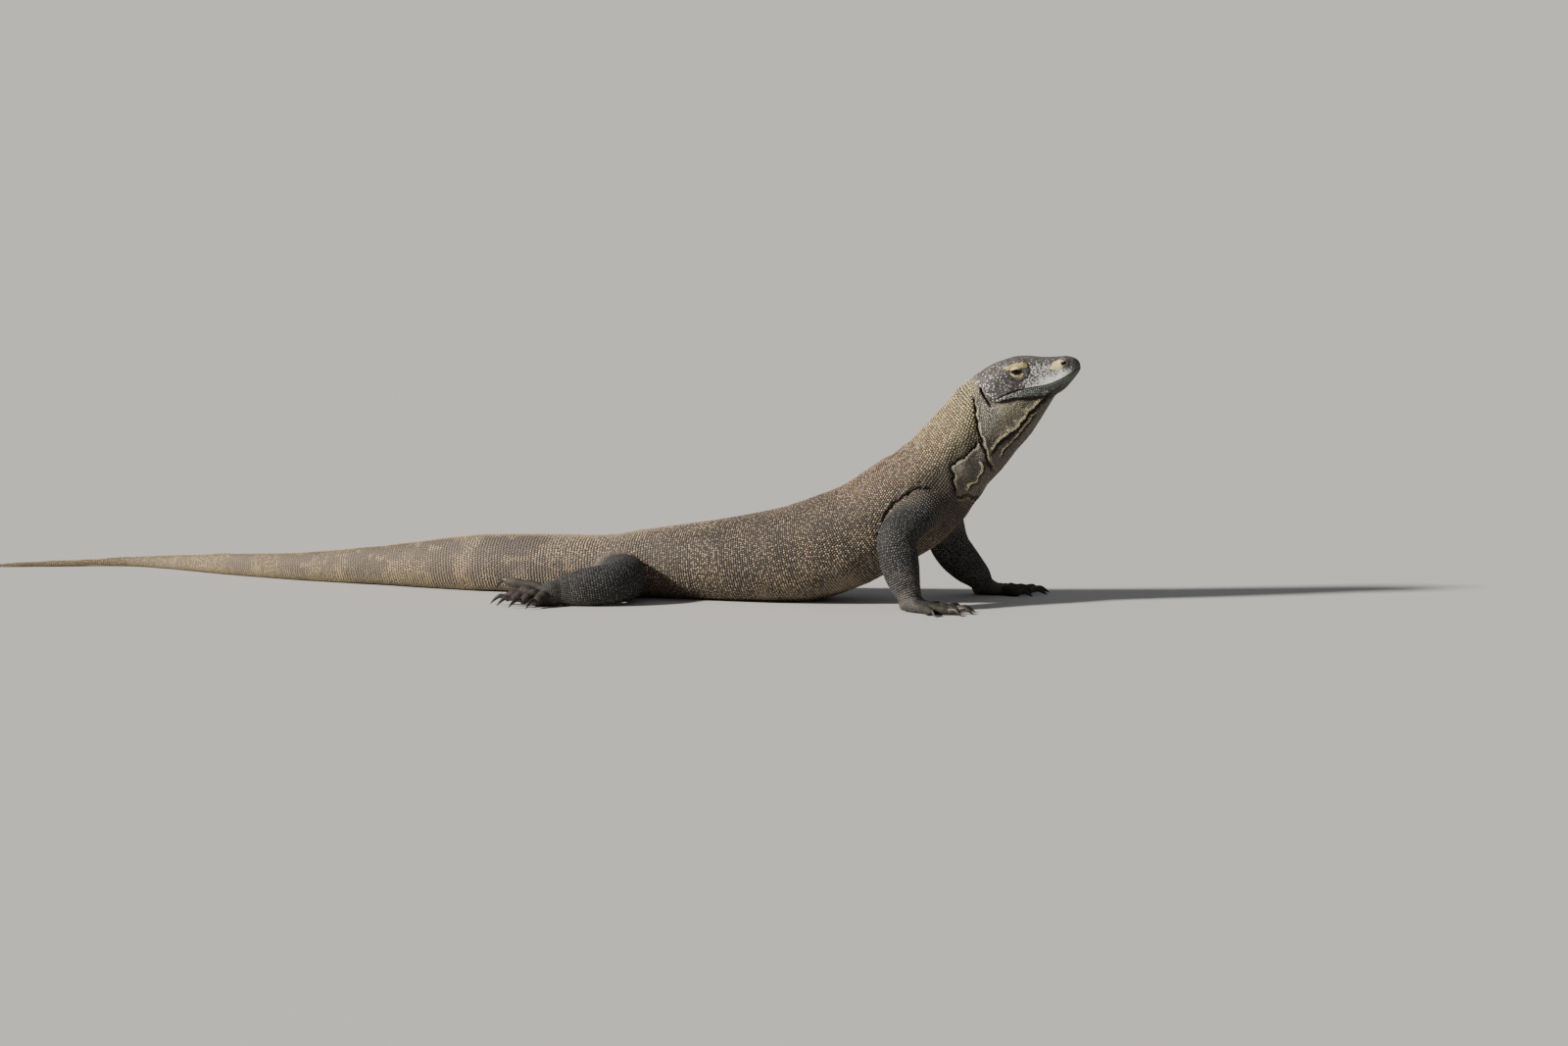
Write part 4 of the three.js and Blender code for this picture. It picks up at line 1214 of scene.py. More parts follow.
class DRAGON_OT_coat(bpy.types.Operator):
    """Lay the scales: rows on body and legs, and small uneven ones on the head, feet and joins"""

    bl_idname = "dragon.coat"
    bl_label = "Coat of scales"

    TOE_PITCH, FOOT_PITCH = 3.5 * MM, 3.4 * MM  # rows round the toes, and single scales between them
    THROAT_PITCH = 3.4 * MM
    SKIN_REACH = 0.006  # metres from a row to the skin that its scales may grow on
    DOTS_END, ROWS_START, FILL_START = 214, 196, 190  # millimetres back on the head

    def execute(self, context):
        sizes = context.scene.dragon_coat
        skin = bpy.data.objects["skin"]
        place, face, pitch = self.sites(skin, context.scene)
        spots = Spots(place)
        normal = face_normals(skin, face)
        way = self.lie(spots, normal)
        marks = spots.marks()
        marks.update(self.skin_marks(skin, face))
        # The folds' grooves join the dark mark, painted dark as painted shade.
        marks["dark"] = np.maximum(marks["dark"], marks["deep"])
        rng = np.random.default_rng(8)
        others = neighbours(place, 11)
        chance = rng.random(len(place))
        chance -= 0.9 * chance[others[:, :6]].mean(1)  # so that pale scales seldom touch
        marks["chance"] = np.argsort(np.argsort(chance)) / len(place)
        bead = 1 - np.maximum(marks["face"], marks["throat"])
        close = ease(marks["along"], 1.95, 2.15)  # the neck's scales nearly touch
        gap = pitch * (0.012 + sizes.gap * bead * (1 - 0.5 * marks["foot"]) * (1 - 0.6 * close))
        height = pitch * sizes.height * (0.42 + 0.58 * bead) * rng.uniform(0.82, 1.15, len(place))
        tail = ease(marks["along"], 1.45, 1.15)
        height *= 1 - 0.35 * tail + 1.5 * tail * bump(np.abs(spots.body_turn) - 0.13, 0.1)
        # On the tail and loins the scales of a ring run together, and rings stand apart.
        join = np.interp(marks["along"], (1.3, 1.6, 1.95), (0.6, 0.25, 0))
        join = join * (1 - marks["limb"]) * (1 - marks["face"])
        shape = dict(place=place, normal=normal, way=way, pitch=pitch, gap=gap, height=height, join=join)
        self.build(spots, marks, shape, others)
        return {"FINISHED"}

    @staticmethod
    def skin_marks(skin, face):
        """The skin's own marks of its folds, taken at the first corner of each given face."""
        first = np.empty(len(skin.data.polygons), np.int32)
        skin.data.polygons.foreach_get("loop_start", first)
        corner = np.empty(len(skin.data.loops), np.int32)
        skin.data.loops.foreach_get("vertex_index", corner)
        marks = {}
        for name in ("deep", "ridge"):
            values = np.empty(len(skin.data.vertices), np.float32)
            skin.data.attributes[name].data.foreach_get("value", values)
            marks[name] = values[corner[first[face]]]
        return marks

    def sites(self, skin, scene):
        """Every scale's place, face and pitch: lips and lids, the head's dots, the rows, and then what is
        bare. A place too near an earlier one is dropped, and loose ones are evened out."""
        on_skin = Spots(places_of(skin.data))
        dotted = (on_skin.on_face & (on_skin.back < self.DOTS_END)) | (on_skin.throat > 0.5)
        lips, rows = self.rows(skin, scene)
        order = (lips, self.face_dots(skin, scene.dragon_coat.face_tries, dotted), rows,
                 self.fill(skin, scene.dragon_coat.fill_tries, ~dotted | (on_skin.back > self.FILL_START)))
        place, face, pitch = (np.concatenate([group[k] for group in order]) for k in range(3))
        share, loose = (np.repeat([group[k] for group in order], [len(group[0]) for group in order])
                        for k in (3, 4))
        kept = keep_apart(place, pitch * share)
        place, face, pitch, loose = place[kept], face[kept], pitch[kept], loose[kept] > 0
        place, face = evened(skin, place, face, pitch, loose)
        spots = Spots(place)
        bare = (spots.eye_opening < 1.0) | ((spots.nostril < 0.8) & spots.on_face) | (spots.ear < 1.6)
        return place[~bare], face[~bare], pitch[~bare]

    def rows(self, skin, scene):
        """Plates and beads of lips and lids, and rows of legs and body. Each group has places, faces,
        pitches, the share of the pitch to keep clear, and 1 if its scales are loose."""
        sites = Sites()
        self.lips_and_lids(sites)
        lips = sum(len(place) for place in sites.place)
        shell = scene.dragon_skin.inset, scene.dragon_skin.floor
        for name, tube in LEG_TUBES.items():
            sites.add(*rows_on(tube, leg_pitch, lambda d: 1.0, *shell, first=0.03), name)
            for foot in FOOT_TUBES[name][0]:
                sites.add(*rows_on(foot, lambda d: self.TOE_PITCH, lambda d: 1.0, *shell), foot.name)
        sites.add(*rows_on(BODY_TUBE, lambda d: body_pitch(d - TAIL_END),
                           lambda d: body_width(d - TAIL_END) * scene.dragon_coat.width, *shell,
                           first=0.004), "body")
        place, pitch, tube = (np.concatenate(each) for each in (sites.place, sites.pitch, sites.tube))
        found, place, face = snapped(skin, place, self.SKIN_REACH)
        place, face, pitch, tube = place[found], face[found], pitch[found], tube[found]
        spots = Spots(place)
        head = (spots.on_face & (spots.back < self.ROWS_START)) | (spots.throat > 0.5)
        first = np.flatnonzero(found) < lips
        body = ~head & ~first & (tube == spots.names)
        return ((place[first], face[first], pitch[first], 0.7, 0),
                (place[body], face[body], pitch[body], 0.68, 0))

    def face_dots(self, skin, tries, wanted):
        """Random places on the head and throat, with a pitch that is least round the muzzle."""
        dots = skin_points(skin.data, tries, wanted, 21)
        spots = Spots(dots)
        pitch = np.interp(spots.back, (0, 40, 110, 170, 210), np.array((2.2, 2.3, 2.4, 2.7, 3.6)) * MM)
        pitch = pitch * np.where(spots.above > 40, 1.12, 1)
        pitch = np.where(spots.throat > 0.5, self.THROAT_PITCH, pitch)
        _, dots, face = snapped(skin, dots, 0.002)
        return dots, face, pitch, 0.86, 1

    def fill(self, skin, tries, wanted):
        """Random places on the skin that the rows may miss."""
        fill = skin_points(skin.data, tries, wanted, 22)
        spots = Spots(fill)
        pitch = np.where(spots.names == "body", body_pitch(spots.body_run), 4.8 * MM)
        pitch = np.where(spots.foot, self.FOOT_PITCH, pitch)
        _, fill, face = snapped(skin, fill, 0.002)
        return fill, face, pitch, 0.8, 1

    @staticmethod
    def lips_and_lids(sites):
        """A row of larger plates on each lip, and rings of beads where eye_opening has each level's value."""
        for level, step in ((1.12, 1.5), (1.40, 1.8), (1.76, 2.1), (2.2, 2.3)):
            turn = np.linspace(0, 2 * np.pi, 400)
            power, size = 2 / LIDS_POWER, level**(1 / LIDS_POWER)
            forward = np.sign(np.cos(turn)) * np.abs(np.cos(turn)) ** power * math.radians(LIDS_WIDE) * size
            upward = np.sign(np.sin(turn)) * np.abs(np.sin(turn)) ** power * size
            upward = upward * np.radians(np.where(upward > 0, LIDS_UP, LIDS_DOWN)) + LIDS_LOW
            upward = upward - LIDS_TILT * forward
            flat = np.cos(upward)
            local = np.stack((flat * np.sin(forward), flat * np.cos(forward), np.sin(upward)), 1)
            local *= LID_SHELL
            run = np.concatenate(([0], np.cumsum(np.linalg.norm(np.diff(local, axis=0), axis=1))))
            at = np.linspace(0, run[-1], int(run[-1] / step), endpoint=False)
            ahead, out, up = (np.interp(at, run, local[:, k]) for k in range(3))
            for side in (LEFT, RIGHT):
                sight, above, before = eye_axes(np.full(1, float(side)))
                spot = ahead[:, None] * before + out[:, None] * sight + up[:, None] * above
                centre = EYE[0] - spot[:, 0], side * EYE[1] + spot[:, 1], EYE[2] + spot[:, 2]
                sites.add(on_head(*centre), step * MM)
        line = spline(np.array(MOUTH, float), np.linspace(0.6, len(MOUTH) - 1.02, 400))
        run = np.concatenate(([0], np.cumsum(np.hypot(*np.diff(line, axis=0).T))))
        stations, widths = np.array([row[:2] for row in HEAD[::-1]], float).T
        for over, step in ((2.7, 4.2), (-2.5, 3.9)):
            at = np.arange(2, run[-1], step)
            back, above = np.interp(at, run, line[:, 0]), np.interp(at, run, line[:, 1]) + over
            width = np.interp(back, stations, widths)
            for side in (LEFT, RIGHT):
                sites.add(on_head(back, side * width * 0.97, above), step * MM)

    @staticmethod
    def lie(spots, normal):
        """The way that each scale points in the skin's surface: to the tail, or on the legs to the toes."""
        way = np.zeros((len(normal), 3))
        for number, tube in enumerate(TUBES):
            here = spots.tube == number
            k = np.clip(np.searchsorted(tube.run, spots.run[here]), 0, len(tube.u) - 1)
            way[here] = tube.along[k] * (-1 if tube in (BODY_TUBE, HEAD_TUBE) else 1)
        way -= normal * (way * normal).sum(1)[:, None]
        short = np.linalg.norm(way, axis=1) < 0.05
        way[short] = np.cross(normal[short], (0.0, 1.0, 0.0))
        return unit(way)

    @staticmethod
    def build(spots, marks, shape, others):
        """One piece for each length of the body, each leg and the head."""
        names = spots.names
        groups = {}
        body = np.flatnonzero(names == "body")
        body = body[np.argsort(spots.run[body], kind="stable")]
        for name, part in zip(COAT_LENGTHS, np.array_split(body, len(COAT_LENGTHS))):
            groups[name] = part
        for leg_name in LEGS:
            groups[leg_name] = np.flatnonzero(np.char.startswith(names, leg_name))
        head = np.flatnonzero(names == "head")
        groups["head"], groups["face"] = head[spots.back[head] >= 100], head[spots.back[head] < 100]
        for name, part in groups.items():
            inside = np.zeros(len(names), bool)
            inside[part] = True
            root = root_map(spots, inside)
            sides = 8 if name in ("head", "face") else 6
            reach, angle = outlines(shape, others, part, sides)
            sites = {key: value[part] for key, value in shape.items()}
            sites.update(root=root[part], angle=angle, reach=reach, bend=bends(shape, others, part),
                         marks={k: v[part] for k, v in marks.items()})
            slot = "leg" if name in LEGS else COAT_SLOTS.get(name, "trunk")
            piece = new_piece(f"scales_{name}", scale_mesh(f"scales_{name}", sites, sides), slot=slot)
            piece.data.materials.append(hide_material())


# ------------------------ eyes and claws

class DRAGON_OT_eyes(bpy.types.Operator):
    """Make the two eyes: balls with a raised clear front, and rings of colour round the line of sight"""

    bl_idname = "dragon.eyes"
    bl_label = "Eyes"

    def execute(self, context):
        ahead, rise = LINE_OF_SIGHT
        for side, name in ((LEFT, "left"), (RIGHT, "right")):
            sight = unit(np.array((ahead, side, rise)))
            up = unit(np.array((0, 0, 1.0)) - sight * sight[2])
            turn = HEAD_TURN @ np.stack((up, np.cross(sight, up), sight), 1)
            place, faces = ball_grid(np.zeros(3), np.ones(3), np.eye(3), rings=40, sides=48)
            angle = np.arccos(np.clip(place[:, 2], -1, 1))
            radius = EYE_RADIUS + 0.55 * np.exp(-(angle / 0.5) ** 4)
            centre = on_head(EYE[0], side * EYE[1], EYE[2])
            mesh = mesh_of(f"eye_{name}_ball", (place * radius[:, None] * MM) @ turn.T + centre, faces)
            mark(mesh, "sight", angle)
            mark(mesh, "round", np.arctan2(place[:, 1], place[:, 0]))
            piece = new_piece(f"eyeball_{name}", mesh, f"eye_{name}", slot="eye")
            piece.data.materials.append(eye_material())
        return {"FINISHED"}


class DRAGON_OT_claws(bpy.types.Operator):
    """Make the claws: curved tapering horns, deeper than wide"""

    bl_idname = "dragon.claws"
    bl_label = "Claws"

    FLOOR = 0.0004  # metres, the least height of a claw

    def execute(self, context):
        rings, sides = 18, 16
        for leg_name in LEGS:
            shapes = [tube_grid(tube, rings, sides, 0, self.FLOOR) for tube in FOOT_TUBES[leg_name][1]]
            mesh = mesh_of(f"{leg_name}_claws", *joined(shapes))
            mark(mesh, "share", np.tile(np.repeat(np.linspace(0, 1, rings), sides), len(shapes)))
            nodes = [f"{CLAWS[leg_name]}{number}" for number in range(1, 6)]
            piece = new_piece(f"claws_{leg_name}", mesh, *nodes, slot="claw")
            piece.data.materials.append(claw_material())
        return {"FINISHED"}


# ------------------------ materials

class Wire:
    """A socket of a node tree that Python's arithmetic works on."""

    def __init__(self, paint, socket):
        self.paint, self.socket = paint, socket

    def __add__(self, other):
        return self.paint.maths("ADD", self, other)

    def __sub__(self, other):
        return self.paint.maths("SUBTRACT", self, other)

    def __rsub__(self, other):
        return self.paint.maths("SUBTRACT", other, self)

    def __mul__(self, other):
        return self.paint.maths("MULTIPLY", self, other)

    def __truediv__(self, other):
        return self.paint.maths("DIVIDE", self, other)

    __radd__, __rmul__ = __add__, __mul__


class Paint:
    """A material under construction."""

    def __init__(self, name):
        self.material = bpy.data.materials.new(name)
        self.material.use_nodes = True
        self.tree = self.material.node_tree
        self.tree.nodes.clear()

    def node(self, kind, settings=None, inputs=None, output=0):
        """Any node: its settings, then its sockets' values or links, by name or number. Gives one output."""
        made = self.tree.nodes.new(kind)
        for key, value in (settings or {}).items():
            if key == "stops":
                self.set_stops(made.color_ramp.elements, value)
            else:
                setattr(made, key, value)
        for key, value in (inputs or {}).items():
            if isinstance(value, Wire):
                self.tree.links.new(value.socket, made.inputs[key])
            else:
                made.inputs[key].default_value = value
        return Wire(self, made.outputs[output]) if made.outputs else None

    def maths(self, operation, *values, clamp=False):
        settings = {"operation": operation, "use_clamp": clamp}
        return self.node("ShaderNodeMath", settings, dict(enumerate(values)))

    def attribute(self, name):
        return self.node("ShaderNodeAttribute", {"attribute_name": name}, output="Fac")

    def place(self):
        return self.node("ShaderNodeTexCoord", output="Object")

    def noise(self, scale, detail=3.0, rough=0.55, place=None):
        return self.node("ShaderNodeTexNoise", None, {
            "Vector": place or self.place(), "Scale": scale, "Detail": detail, "Roughness": rough}, "Fac")

    def rays(self, value, scale, detail):
        """Uneven bands across the way that a value grows."""
        return self.node("ShaderNodeTexNoise", {"noise_dimensions": "1D"},
                         {"W": value, "Scale": scale, "Detail": detail}, "Fac")

    def ease(self, value, low, high):
        """0 to 1 as value goes from low to high, smoothly."""
        return self.node("ShaderNodeMapRange", {"interpolation_type": "SMOOTHSTEP"},
                         {"Value": value, "From Min": low, "From Max": high})

    def mix(self, amount, first, second):
        """first where amount is 0 and second where it is 1; both colours."""
        first, second = (v if isinstance(v, Wire) else (*v, 1.0) for v in (first, second))
        return self.node("ShaderNodeMix", {"data_type": "RGBA"}, {0: amount, 6: first, 7: second}, 2)

    def shade(self, colour, amount):
        """The colour times a number."""
        grey = self.node("ShaderNodeCombineColor", None, {0: amount, 1: amount, 2: amount})
        return self.node("ShaderNodeMix", {"data_type": "RGBA", "blend_type": "MULTIPLY"},
                         {0: 1.0, 6: colour, 7: grey}, 2)

    @staticmethod
    def set_stops(elements, stops):
        """Gives a ramp its stops of (position, colour or grey)."""
        while len(elements) < len(stops):
            elements.new(1.0)
        for element, (position, colour) in zip(elements, stops):
            element.position = position
            element.color = (*([colour] * 3 if isinstance(colour, float) else colour), 1.0)

    def ramp(self, value, *stops):
        """A colour or a grey by value."""
        return self.node("ShaderNodeValToRGB", {"stops": stops}, {0: value})

    def finish(self, colour, roughness, height=None, strength=0.3, distance=0.001, **fixed):
        """The surface: colour and roughness may be wires; fixed gives other sockets' numbers."""
        base = colour if isinstance(colour, Wire) else (*colour, 1.0)
        inputs = {"Base Color": base, "Roughness": roughness}
        if height is not None:
            inputs["Normal"] = self.node("ShaderNodeBump", None, {
                "Height": height, "Strength": strength, "Distance": distance})
        inputs.update({key.replace("_", " "): value for key, value in fixed.items()})
        surface = self.node("ShaderNodeBsdfPrincipled", None, inputs)
        self.node("ShaderNodeOutputMaterial", None, {"Surface": surface})
        return self.material


class Hide(Paint):
    """The hide, on skin and scales alike. along is 0 near the tail's tip and 0.97 at the head, height is 1 on
    the back and -1 beneath, chance and other are random for each scale, crown is 1 on a scale and 0 in the
    gaps, and under is 1 beneath the trunk."""

    SPAN = 2.6  # metres that the ramps along the body cover

    def __init__(self, look):
        super().__init__("hide")
        self.look = look
        self.along = self.attribute("along") / self.SPAN
        self.chance, self.crown, self.height, self.ridge, self.foot, self.toe = (
            self.attribute(name) for name in ("chance", "crown", "height", "ridge", "foot", "toe"))
        self.other = self.maths("FRACT", self.chance * 17.37)
        self.blotch, self.broad = self.noise(15.0, 3.0), self.noise(4.2, 2.0)
        self.fine = self.noise(95.0, 2.0)
        # Beneath the trunk: painted shade, with wider dark gaps and more pale scales.
        under = self.ease(self.height, -0.4, -0.85) * self.ease(self.along, 0.5, 0.6)
        self.under = under * self.ease(self.along, 0.9, 0.75)
        self.raised = self.ease(self.crown, 0.3 + self.under * 0.2, 1.0)

    def all_over(self):
        """The parts laid over one another, then dust, uneven tone, and painted shade in grooves, mouth,
        nostrils and ears.
        """
        look, ridge, foot = self.look, self.ridge, self.foot
        throat, face = self.attribute("throat"), self.attribute("face")
        hide = self.mix(self.raised, self.gaps(), self.scales())
        hide = self.mix(throat, hide, self.throat())
        # A painted highlight on the crests of the folds outside the throat.
        hide = self.mix(ridge * (1 - throat) * 0.4, hide, look.throat_ridge_highlight)
        hide = self.mix(self.attribute("limb"), hide, self.legs())
        hide = self.mix(foot * 0.35, hide, look.toe)
        hide = self.mix(face, hide, self.head())
        dust = self.ease(self.noise(8.0, 4.0, 0.62), 0.56, 0.72) * self.ease(self.height, 0.5, -0.5)
        hide = self.mix(dust * (1.0 - face) * 0.25, hide, look.dust)
        hide = self.shade(hide, 0.82 + self.other * 0.30 + (self.broad - 0.5) * 0.3)
        # Painted shade in grooves, folds, mouth, nostrils, ears and under the jaw, and the dark rim of the
        # lids.
        hide = self.mix(self.attribute("dark") * 0.92, hide, look.groove)
        rough = 0.72 - self.crown * 0.18 + self.fine * 0.08
        return self.finish(hide, rough, self.noise(900.0, 2.0), 0.25, 0.0004)

    def gaps(self):
        """The skin between the scales, from the tail's tip to the neck: dark skin, near black on trunk and
        neck partly as painted shade between the beads.
        """
        look = self.look
        return self.ramp(self.along, (0.0, look.tail_gap), (0.2, look.tail_gap), (0.45, look.hip_gap),
                         (0.60, look.trunk_gap), (0.77, look.trunk_gap), (0.84, look.neck_gap))

    def scales(self):
        """The scales of tail, trunk and neck: plain ones with pale ones among them, and patches, and painted
        shade beneath the trunk and on the chest.
        """
        look, along, height, blotch, under = self.look, self.along, self.height, self.blotch, self.under
        plain = self.ramp(along, (0.0, look.tail_tip), (0.2, look.tail_tip), (0.36, look.tail),
                          (0.46, look.hips), (0.61, look.trunk), (0.74, look.trunk), (0.80, look.shoulder),
                          (0.86, look.neck))
        pale = self.ramp(along, (0.0, look.tail_pale), (0.38, look.tail_pale), (0.52, look.hip_pale),
                         (0.64, look.trunk_pale), (0.76, look.trunk_pale), (0.84, look.neck_pale))
        share = self.ramp(along, (0.0, 0.25), (0.3, 0.26), (0.5, 0.3), (0.62, 0.2), (0.74, 0.22), (0.82, 0.5),
                          (0.93, 0.6))
        share = share + (blotch - 0.5) * 0.7 + (self.broad - 0.5) * 0.3
        dot = self.mix(self.ease(share + under * 0.4 - self.chance, -0.42, 0.3), plain, pale)
        rust = self.ease(along, 0.70, 0.77) * self.ease(along, 0.87, 0.81) * self.ease(height, -0.1, 0.6)
        rust = self.ease(rust * 0.34 + 0.05 + (blotch - 0.5) * 0.4 - self.other, -0.1, 0.12)
        rust = rust * self.ease(along, 0.47, 0.55) * self.ease(along, 0.92, 0.86)
        dot = self.on_tail(self.mix(rust * 0.6, dot, look.rust))
        dot = self.mix(self.ease(height, -0.25, -0.7) * self.ease(along, 0.55, 0.35) * 0.55, dot, look.olive)
        # Painted shade on the chest, and beneath the trunk by under.
        chest_shade = self.ease(height, 0.4, -0.1) * self.ease(along, 0.75, 0.80) * self.ease(along, 0.97, 0.92)
        return self.mix(self.maths("MAXIMUM", under * 0.35, chest_shade * 0.9), dot, look.belly)

    def on_tail(self, dot):
        """The tail's markings over the given colour: grey clouds, bare patches, bars and a pale keel."""
        look, along, height = self.look, self.along, self.height
        tail = self.ease(along, 0.04, 0.2) * self.ease(along, 0.62, 0.5)
        dot = self.mix(self.ease(self.noise(11.0, 3.0), 0.45, 0.56) * tail * 0.85, dot, look.tail_grey)
        bare = self.ease(self.noise(34.0, 2.5), 0.58, 0.64) * tail
        dot = self.mix(bare * 0.85, dot, look.shed)
        bars = self.rays(along, 150.0, 1.0)
        bars = self.ease(bars, 0.52, 0.60) * self.ease(height, 0.1, -0.5) * self.ease(along, 0.6, 0.5)
        dot = self.mix(bars * 0.55, dot, look.tail_pale)
        return self.mix(self.ease(height, 0.95, 0.99) * tail * 0.8, dot, look.tail_pale)

    def throat(self):
        """The soft skin of the throat: fine pale scales, painted shade on its underside, and a painted
        highlight on the crests of its folds.
        """
        look, chance, ridge = self.look, self.chance, self.ridge
        soft = self.mix(self.ease(chance * 0.6 + self.blotch, 0.5, 1.05), look.throat, look.throat_pale)
        soft = self.mix(self.attribute("lattice") * (0.25 + chance * 0.75), soft, look.lattice)
        # Painted shade on the throat's underside.
        soft = self.mix(self.ease(self.height, 0.05, -0.5) * 0.75, soft, look.belly)
        soft = self.mix(ridge, soft, look.throat_ridge_highlight)
        return self.mix(self.maths("MAXIMUM", self.raised * 0.9 + 0.1, ridge * 0.8), look.throat_gap, soft)

    def legs(self):
        """Slate scales with paler ones among them, browner on the toes; slate and toes are painted darker
        than their own colour as painted shade.
        """
        look, toe = self.look, self.toe
        scale = self.mix(self.ease(self.chance * 0.5 + self.blotch, 0.45, 1.05), look.leg, look.leg_pale)
        scale = self.mix(toe * 0.8, scale, look.toe)
        solid = self.maths("MAXIMUM", self.ease(self.crown, 0.5, 1.0), self.foot * 0.5)
        return self.mix(solid, self.mix(toe * 0.3, look.leg_gap, look.toe), scale)

    def head(self):
        """The head: grey scales, white specks, and the marks of snout, lips, brow and nostril."""
        look, other, fine = self.look, self.other, self.fine
        speck, cream = self.attribute("speck"), self.attribute("cream")
        head = self.mix(self.ease(other + fine * 0.6, 0.8, 1.2), look.head, look.head_light)
        white = self.ease(speck - self.chance + (fine - 0.5) * 0.12, -0.06, 0.06)
        head = self.mix(white * (0.78 + speck * 0.22), head, look.speck)
        head = self.mix(self.attribute("snout") * 0.8, head, look.snout)
        head = self.mix(self.attribute("lip") * 0.85, head, look.lip)
        head = self.mix(cream * (0.82 + other * 0.18), head, look.cream)
        head = self.mix(self.attribute("orange") * 0.45, head, look.orange)
        solid = self.maths("MAXIMUM", self.raised * 0.88 + 0.12, cream * 0.7)
        solid = self.maths("MAXIMUM", solid, self.ease(speck, 0.55, 0.95) * 0.85)
        return self.mix(solid, look.head_gap, head)


def hide_material():
    """The hide, made when it is first asked for."""
    return bpy.data.materials.get("hide") or Hide(bpy.context.scene.dragon_palette).all_over()


def eye_material():
    """Black pupil, dark brown iris with fine rays and a paler ring, and a wet clear front."""
    made = bpy.data.materials.get("eye_wet")
    if made:
        return made
    paint = Paint("eye_wet")
    sight = paint.attribute("sight")
    rays = paint.rays(paint.attribute("round") * 9.0, 1.0, 3.0)
    iris = paint.mix(rays, (0.005, 0.003, 0.002), (0.022, 0.011, 0.006))
    iris = paint.mix(paint.ease(sight, 0.40, 0.33) * 0.5, iris, (0.030, 0.017, 0.009))
    colour = paint.mix(paint.ease(sight, 0.34, 0.30), iris, (0.002, 0.002, 0.002))
    colour = paint.mix(paint.ease(sight, 0.60, 0.70), colour, (0.008, 0.005, 0.004))
    return paint.finish(colour, 0.05, Specular_IOR_Level=0.22)


def claw_material():
    """Black horn: browner at the root, and scuffed."""
    made = bpy.data.materials.get("horn")
    if made:
        return made
    paint = Paint("horn")
    share = paint.attribute("share")
    dirt = paint.noise(160.0, 4.0)
    colour = paint.mix(paint.ease(share, 0.0, 0.35), (0.075, 0.052, 0.035), (0.014, 0.011, 0.009))
    colour = paint.mix(paint.ease(dirt, 0.52, 0.75) * 0.5, colour, (0.16, 0.125, 0.09))
    return paint.finish(colour, 0.34 + dirt * 0.25, dirt, 0.2, 0.0004)


def floor_material():
    """Pale matt floor, a little uneven."""
    paint = Paint("floor")
    return paint.finish(paint.mix(paint.noise(0.7, 2.0), (0.50, 0.49, 0.475), (0.53, 0.52, 0.505)), 0.85)


# ------------------------ stage

class DRAGON_OT_stage(bpy.types.Operator):
    """Set the plain stage: a pale floor, a soft key light from the left, a fill, and a distant camera"""

    bl_idname = "dragon.stage"
    bl_label = "Stage"

    def execute(self, context):
        look = context.scene.dragon_stage
        sides, reach = 96, look.floor_reach
        u = np.linspace(0, 2 * np.pi, sides + 1)[:-1]
        rim = np.stack((reach * np.cos(u), reach * np.sin(u), 0 * u), 1)
        floor = mesh_of("floor", rim, [list(range(sides))])
        floor.materials.append(floor_material())
        piece = bpy.data.objects.new("floor", floor)
        context.scene.collection.objects.link(piece)
        target = np.array(look.target)
        key = bpy.data.lights.new("key", "SUN")
        key.energy, key.angle, key.color = look.key_power, look.key_size, (1.0, 0.955, 0.89)
        holder = bpy.data.objects.new("key", key)
        context.scene.collection.objects.link(holder)
        self.aim(holder, target, look.key_azimuth, look.key_elevation, 5.0)
        world = bpy.data.worlds.new("studio")
        world.use_nodes = True
        world.node_tree.nodes["Background"].inputs[0].default_value = (0.80, 0.82, 0.85, 1)
        world.node_tree.nodes["Background"].inputs[1].default_value = look.sky
        context.scene.world = world
        camera = bpy.data.cameras.new("camera")
        camera.lens, camera.sensor_width = look.lens, 36.0
        camera.clip_end = 200.0
        holder = bpy.data.objects.new("camera", camera)
        context.scene.collection.objects.link(holder)
        self.aim(holder, target, look.azimuth, look.elevation, look.distance)
        context.scene.camera = holder
        return {"FINISHED"}

    @staticmethod
    def aim(holder, target, azimuth, elevation, distance):
        """Puts an object at a distance from the target, facing it. Azimuth 0 faces +Y, and 90 degrees -X."""
        flat = math.cos(elevation)
        back = np.array((math.sin(azimuth) * flat, -math.cos(azimuth) * flat, math.sin(elevation)))
        holder.location = target + back * distance
        holder.rotation_euler = (math.pi / 2 - elevation, 0.0, azimuth)


# ------------------------ settings

def length(name, description, default):
    return FloatProperty(name=name, description=description, default=default, unit="LENGTH", precision=5)


def angle_of(name, description, degrees):
    return FloatProperty(name=name, description=description, default=math.radians(degrees), subtype="ANGLE")


def colour_of(name, description, default):
    return FloatVectorProperty(name=name, description=description, default=default, subtype="COLOR", size=3,
                               min=0, max=1)


def gap_of(part, default):
    return colour_of(f"Gaps of the {part}", f"Skin between the scales of the {part}", default)


def scales_of(part, default):
    return colour_of(f"Scales of the {part}", f"Most scales of the {part}", default)


def pale_of(part, default):
    return colour_of(f"Pale scales of the {part}", f"Scattered pale scales of the {part}", default)


def share_of(name, description, default):
    return FloatProperty(name=name, description=description, default=default, subtype="FACTOR")


class DragonSkin(bpy.types.PropertyGroup):
    inset: length("Inset", "How far the skin lies inside the solids, under the scales", 0.0012)
    voxel: length("Voxel", "Cell of the mesh that joins the tubes", 0.0027)
    floor: length("Floor", "Height of the skin's flats over the floor", 0.0010)
    blend: length("Blend", "Reach of the smoothing where legs meet the body", 0.017)


